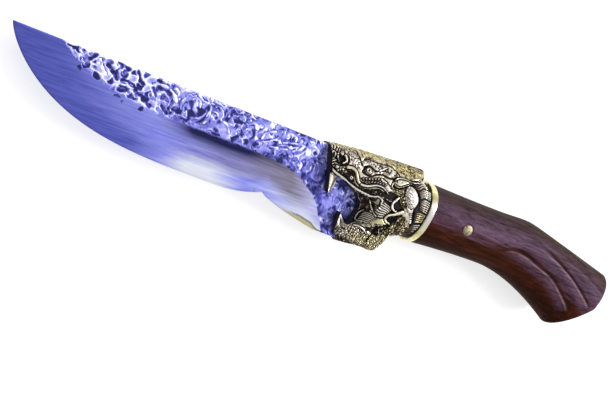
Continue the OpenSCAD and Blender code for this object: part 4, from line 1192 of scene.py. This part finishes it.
# Each flute falls steeply from a crisp crest and rises gently to the next
crest_1 = curve([(234, -16.8), (240.3, -14.2), (247, -14.4), (252.8, -16), (259.4, -17.8), (265.3, -20.2),
                 (272, -24.6), (277.3, -28.6), (279.4, -31)])
crest_2 = curve([(252.5, -9.3), (257.8, -9.9), (266.4, -12.8), (275.9, -17.5), (285.4, -23.7),
                 (288.4, -26.4)])
crest_3 = curve([(262, -8.3), (270, -9.9), (281.2, -12.8), (291.5, -17.5), (294, -19.4)])
# For the flutes: lit is a painted highlight along each crest, shade painted shade in the groove beside it,
# slope a painted violet sheen on the gentle rise.
cut, lit, shade, slope = (np.zeros(hand.shape[:2]) for _ in range(4))
for path, depth, width in ((crest_1, 1.3, 6.4), (crest_2, 1.35, 6.0), (crest_3, 0.35, 6.0)):
    near, d, t, side = trace(hand[..., 0], hand[..., 1], path, width + 2)
    over = d * side
    wide = width * mix(0.35, 1, ramp(0, 0.55, t))
    deep = depth * ramp(0.02, 0.35, t) * ramp(1.0, 0.9, t)
    scoop = ease(ramp(0, wide * 0.3, over)) * (1 - ease(ramp(wide * 0.3, wide, over)))
    cut[near] = np.maximum(cut[near], deep * scoop)
    cut[near] -= 0.22 * ramp(0.02, 0.3, t) * ramp(1, 0.9, t) * hump(d, 0.7)
    seen = ramp(0.04, 0.25, t) * ramp(1, 0.92, t) * depth
    lit[near] = np.maximum(lit[near], seen * hump(d, 0.3))
    shade[near] = np.maximum(shade[near], seen * hump(over - 1.5, 0.8))
    slope[near] = np.maximum(slope[near], seen * ramp(5, 1.0, -over) * (over < 0))
hand_half = np.abs(hand[..., 2])
lean_in = hand_half / (hand_half.max(axis=1, keepdims=True) + 1e-6)
hand[..., 2] -= np.sign(hand[..., 2]) * np.minimum(cut, hand_half * 0.4) * ramp(0.1, 0.5, lean_in)

rosewood, tree, shader = finish("rosewood")
here = add(tree, "TexCoord", {}).outputs["Object"]
bent = add(tree, "Mapping", {"Vector": here, "Rotation": (0, 0, 0.16),
                             "Scale": (0.16, 1.6, 1.2)}).outputs[0]
wander = add(tree, "TexNoise", {"Vector": bent, "Scale": 60.0, "Detail": 3.0}).outputs["Color"]
warped = add(tree, "Mix", {0: 0.03, 4: bent, 5: wander}, data_type="VECTOR").outputs[1]
grain = add(tree, "TexNoise", {"Vector": warped, "Scale": 420.0, "Detail": 6.0, "Roughness": 0.7,
                               "Distortion": 0.4}).outputs["Fac"]
bands = add(tree, "TexNoise", {"Vector": warped, "Scale": 110.0, "Detail": 3.0,
                               "Distortion": 1.2}).outputs["Fac"]
pores = streaks(tree, (0.25, 4, 4), 900.0, 2.0, 0.5)
level = maths(tree, "ADD", noted(tree, "high"), swing(tree, bands, 0.45))
# Painted shade darkens the wood below, a violet sheen is painted as reflection on the upper side, and brown
# at the top
underside_shade_wood, red_wood, sheen_wood, brown_wood = (48, 18, 7), (66, 30, 18), (96, 73, 94), (60, 45, 30)
wood = grade(tree, level, (0.0, underside_shade_wood), (0.36, red_wood), (0.66, sheen_wood), (1.0, brown_wood))
# Painted violet sheen on the flutes' slopes: a painted reflection.
wood = blend_colour(tree, maths(tree, "MULTIPLY", noted(tree, "slope"), 0.6), wood, srgb(92, 70, 92))
wood = blend_colour(tree, maths(tree, "MULTIPLY", noted(tree, "shade"), 0.95), wood, srgb(40, 12, 6))
wood = blend_colour(tree, 0.8, wood, grade(tree, grain, (0.34, 0.1), (0.66, 0.85)), "OVERLAY")
wood = blend_colour(tree, 0.45, wood, grade(tree, bands, (0.32, 0.4), (0.6, 1.0)), "MULTIPLY")
wood = blend_colour(tree, grade(tree, pores, (0.60, 0), (0.72, 0.75)), wood, srgb(18, 8, 6))
shine = maths(tree, "MULTIPLY", noted(tree, "lit"), grade(tree, grain, (0.35, 0.2), (0.6, 0.7)))
wood = blend_colour(tree, shine, wood, srgb(152, 124, 134))
pin_spot = placed((pin_x, -pin_drop, 0))
pin_axis = add(tree, "Mapping", {"Vector": here, "Location": (-pin_spot[0], -pin_spot[1], 0),
                                 "Scale": (1, 1, 0)})
from_pin = add(tree, "VectorMath", {0: pin_axis.outputs[0]}, operation="LENGTH").outputs["Value"]
wood = blend_colour(tree, grade(tree, from_pin, (0.0028, 0.8), (0.0034, 0)), wood, srgb(16, 8, 8))
plug(shader, {"Base Color": wood, "Roughness": grade(tree, grain, (0.3, 0.6), (0.7, 0.46)),
              "Specular IOR Level": 0.03, "Normal": raised(tree, grain, 0.00015, 0.35)})

handle = solid("rosewood_handle", hand.reshape(-1, 3), loft_faces(len(hand), around))
for name, values in (("high", 1 - hand_v), ("lit", lit), ("shade", shade), ("slope", slope)):
    note(handle, name, np.clip(values, 0, 1))
handle.data.materials.append(rosewood)
tenon_turns = np.linspace(0, 2 * math.pi, tenon_steps, endpoint=False)
tenon_less = 2 * ferrule_wall + tenon_fit
tenon = [neck_frame(u, *egg(tenon_turns, neck_w - tenon_less, neck_t - tenon_less))
         for u in (0.05, ferrule_len + 1)]
carve(handle, solid("tool", np.concatenate(tenon), loft_faces(2, tenon_steps)), "UNION")
carve(handle, prism(tang_outline(mortise_gap, ricasso_end), -mortise_half, mortise_half))
carve(handle, prism(disc(pin_x, -pin_drop, pin_r + fit_gap), -2 * through, 2 * through))
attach(handle, "root")
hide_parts("wooden_handle")

# Handle pin: a length of brass rod driven through the wood, the resin and the tang. Its ends
# are filed flush with the wood and left a little domed.
pin_low, pin_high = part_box("handle_pin")
pin_half = (pin_high.z - pin_low.z) / MM / 2
rim = 0.35
pin_profile = [(0.02, pin_half + 0.18), (1.2, pin_half + 0.13), (pin_r - rim, pin_half),
               (pin_r - 0.1, pin_half - 0.12), (pin_r, pin_half - rim)]
pin_profile += [(r, -z) for r, z in pin_profile[::-1]]
pin_points = [(x, y, z) for r, z in pin_profile for x, y in disc(pin_x, -pin_drop, r)]
pin_faces = wall_faces(len(pin_profile), round_steps).tolist()
pin_faces += [list(range(round_steps))[::-1], list(range(len(pin_points) - round_steps, len(pin_points)))]
pin = solid("brass_handle_pin", pin_points, pin_faces)
pin_brass, tree, shader = finish("pin_brass")
filed = streaks(tree, (1, 1, 1), 1100, 3.0)
plug(shader, {"Base Color": grade(tree, filed, (0.3, (100, 88, 68)), (0.7, (168, 158, 130))),
              "Metallic": 1.0, "Roughness": 0.45})
pin.data.materials.append(pin_brass)
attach(pin, "root")
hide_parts("handle_pin")

# Studio: a pale floor that reads white to the camera and keeps the knife's shadow, a pale
# sky that darkens to the left, a soft lamp on the right and a weaker one on the left.
floor_half, floor_glow, sky_strength = 3.0, 0.62, 0.9
floor_mesh = bpy.data.meshes.new("studio_floor")
floor_corners = [(x * floor_half, y * floor_half, 0) for x, y in ((-1, -1), (1, -1), (1, 1), (-1, 1))]
floor_mesh.from_pydata(floor_corners, [], [[0, 1, 2, 3]])
floor = bpy.data.objects.new("studio_floor", floor_mesh)
bpy.context.scene.collection.objects.link(floor)
paper, tree, shader = finish("studio_paper")
plug(shader, {"Base Color": (0.55, 0.55, 0.55, 1), "Roughness": 0.9})
rays = add(tree, "LightPath", {}).outputs
seen = maths(tree, "MAXIMUM", rays["Is Camera Ray"], rays["Is Glossy Ray"])
glow = add(tree, "Emission", {"Color": (1, 1, 1, 1), "Strength": maths(tree, "MULTIPLY", seen, floor_glow)})
both_lights = add(tree, "AddShader", {0: shader.outputs[0], 1: glow.outputs[0]})
plug(tree.nodes["Material Output"], {"Surface": both_lights.outputs[0]})
floor_mesh.materials.append(paper)

world = bpy.data.worlds.new("studio_sky")
bpy.context.scene.world = world
world.use_nodes = True
tree = world.node_tree
sky_way = add(tree, "SeparateXYZ", {0: add(tree, "TexCoord", {}).outputs["Generated"]})
side_on = maths(tree, "MULTIPLY_ADD", sky_way.outputs["X"], 0.5, 0.5)
sky = grade(tree, side_on, (0.1, 0.45), (0.45, 0.62), (0.72, 0.88), (1.0, 1.0))
plug(tree.nodes["Background"], {"Color": sky, "Strength": sky_strength})


def lamp(name, place, size, power):
    """A round soft lamp turned to the knife's middle."""
    light = bpy.data.lights.new(name, "AREA")
    light.shape, light.size, light.energy = "DISK", size, power
    made = bpy.data.objects.new(name, light)
    made.location = place
    made.rotation_euler = (-Vector(place)).to_track_quat("-Z", "Y").to_euler()
    bpy.context.scene.collection.objects.link(made)


lamp("key_lamp", (0.75, 0.25, 0.62), 0.5, 7)
lamp("fill_lamp", (-0.3, 0.5, 0.9), 0.6, 2)

# Camera: above the knife and towards its point, with the knife in its middle. It is turned
# about its own line of sight so that the knife falls to the right.
yaw, pitch, roll = (math.radians(a) for a in (26, 5, 22.756))
away, focal, film_w = 0.65, 91.286, 36.0
aim = Vector((-0.005726, -0.009292, 0.014))
back = Vector((-math.sin(yaw) * math.cos(pitch), math.sin(pitch), math.cos(yaw) * math.cos(pitch)))
right = Vector((0, 1, 0)).cross(back).normalized()
up = back.cross(right)
turned_right = right * math.cos(roll) + up * math.sin(roll)
turned_up = up * math.cos(roll) - right * math.sin(roll)
lens = bpy.data.cameras.new("camera")
lens.lens, lens.sensor_width, lens.clip_start = focal, film_w, 0.01
camera = bpy.data.objects.new("camera", lens)
bpy.context.scene.collection.objects.link(camera)
place = aim + back * away
rows = [(turned_right[i], turned_up[i], back[i], place[i]) for i in range(3)]
camera.matrix_world = Matrix(rows + [(0, 0, 0, 1)])
bpy.context.scene.camera = camera
bpy.context.scene.view_settings.view_transform = "Standard"

bpy.context.view_layer.update()
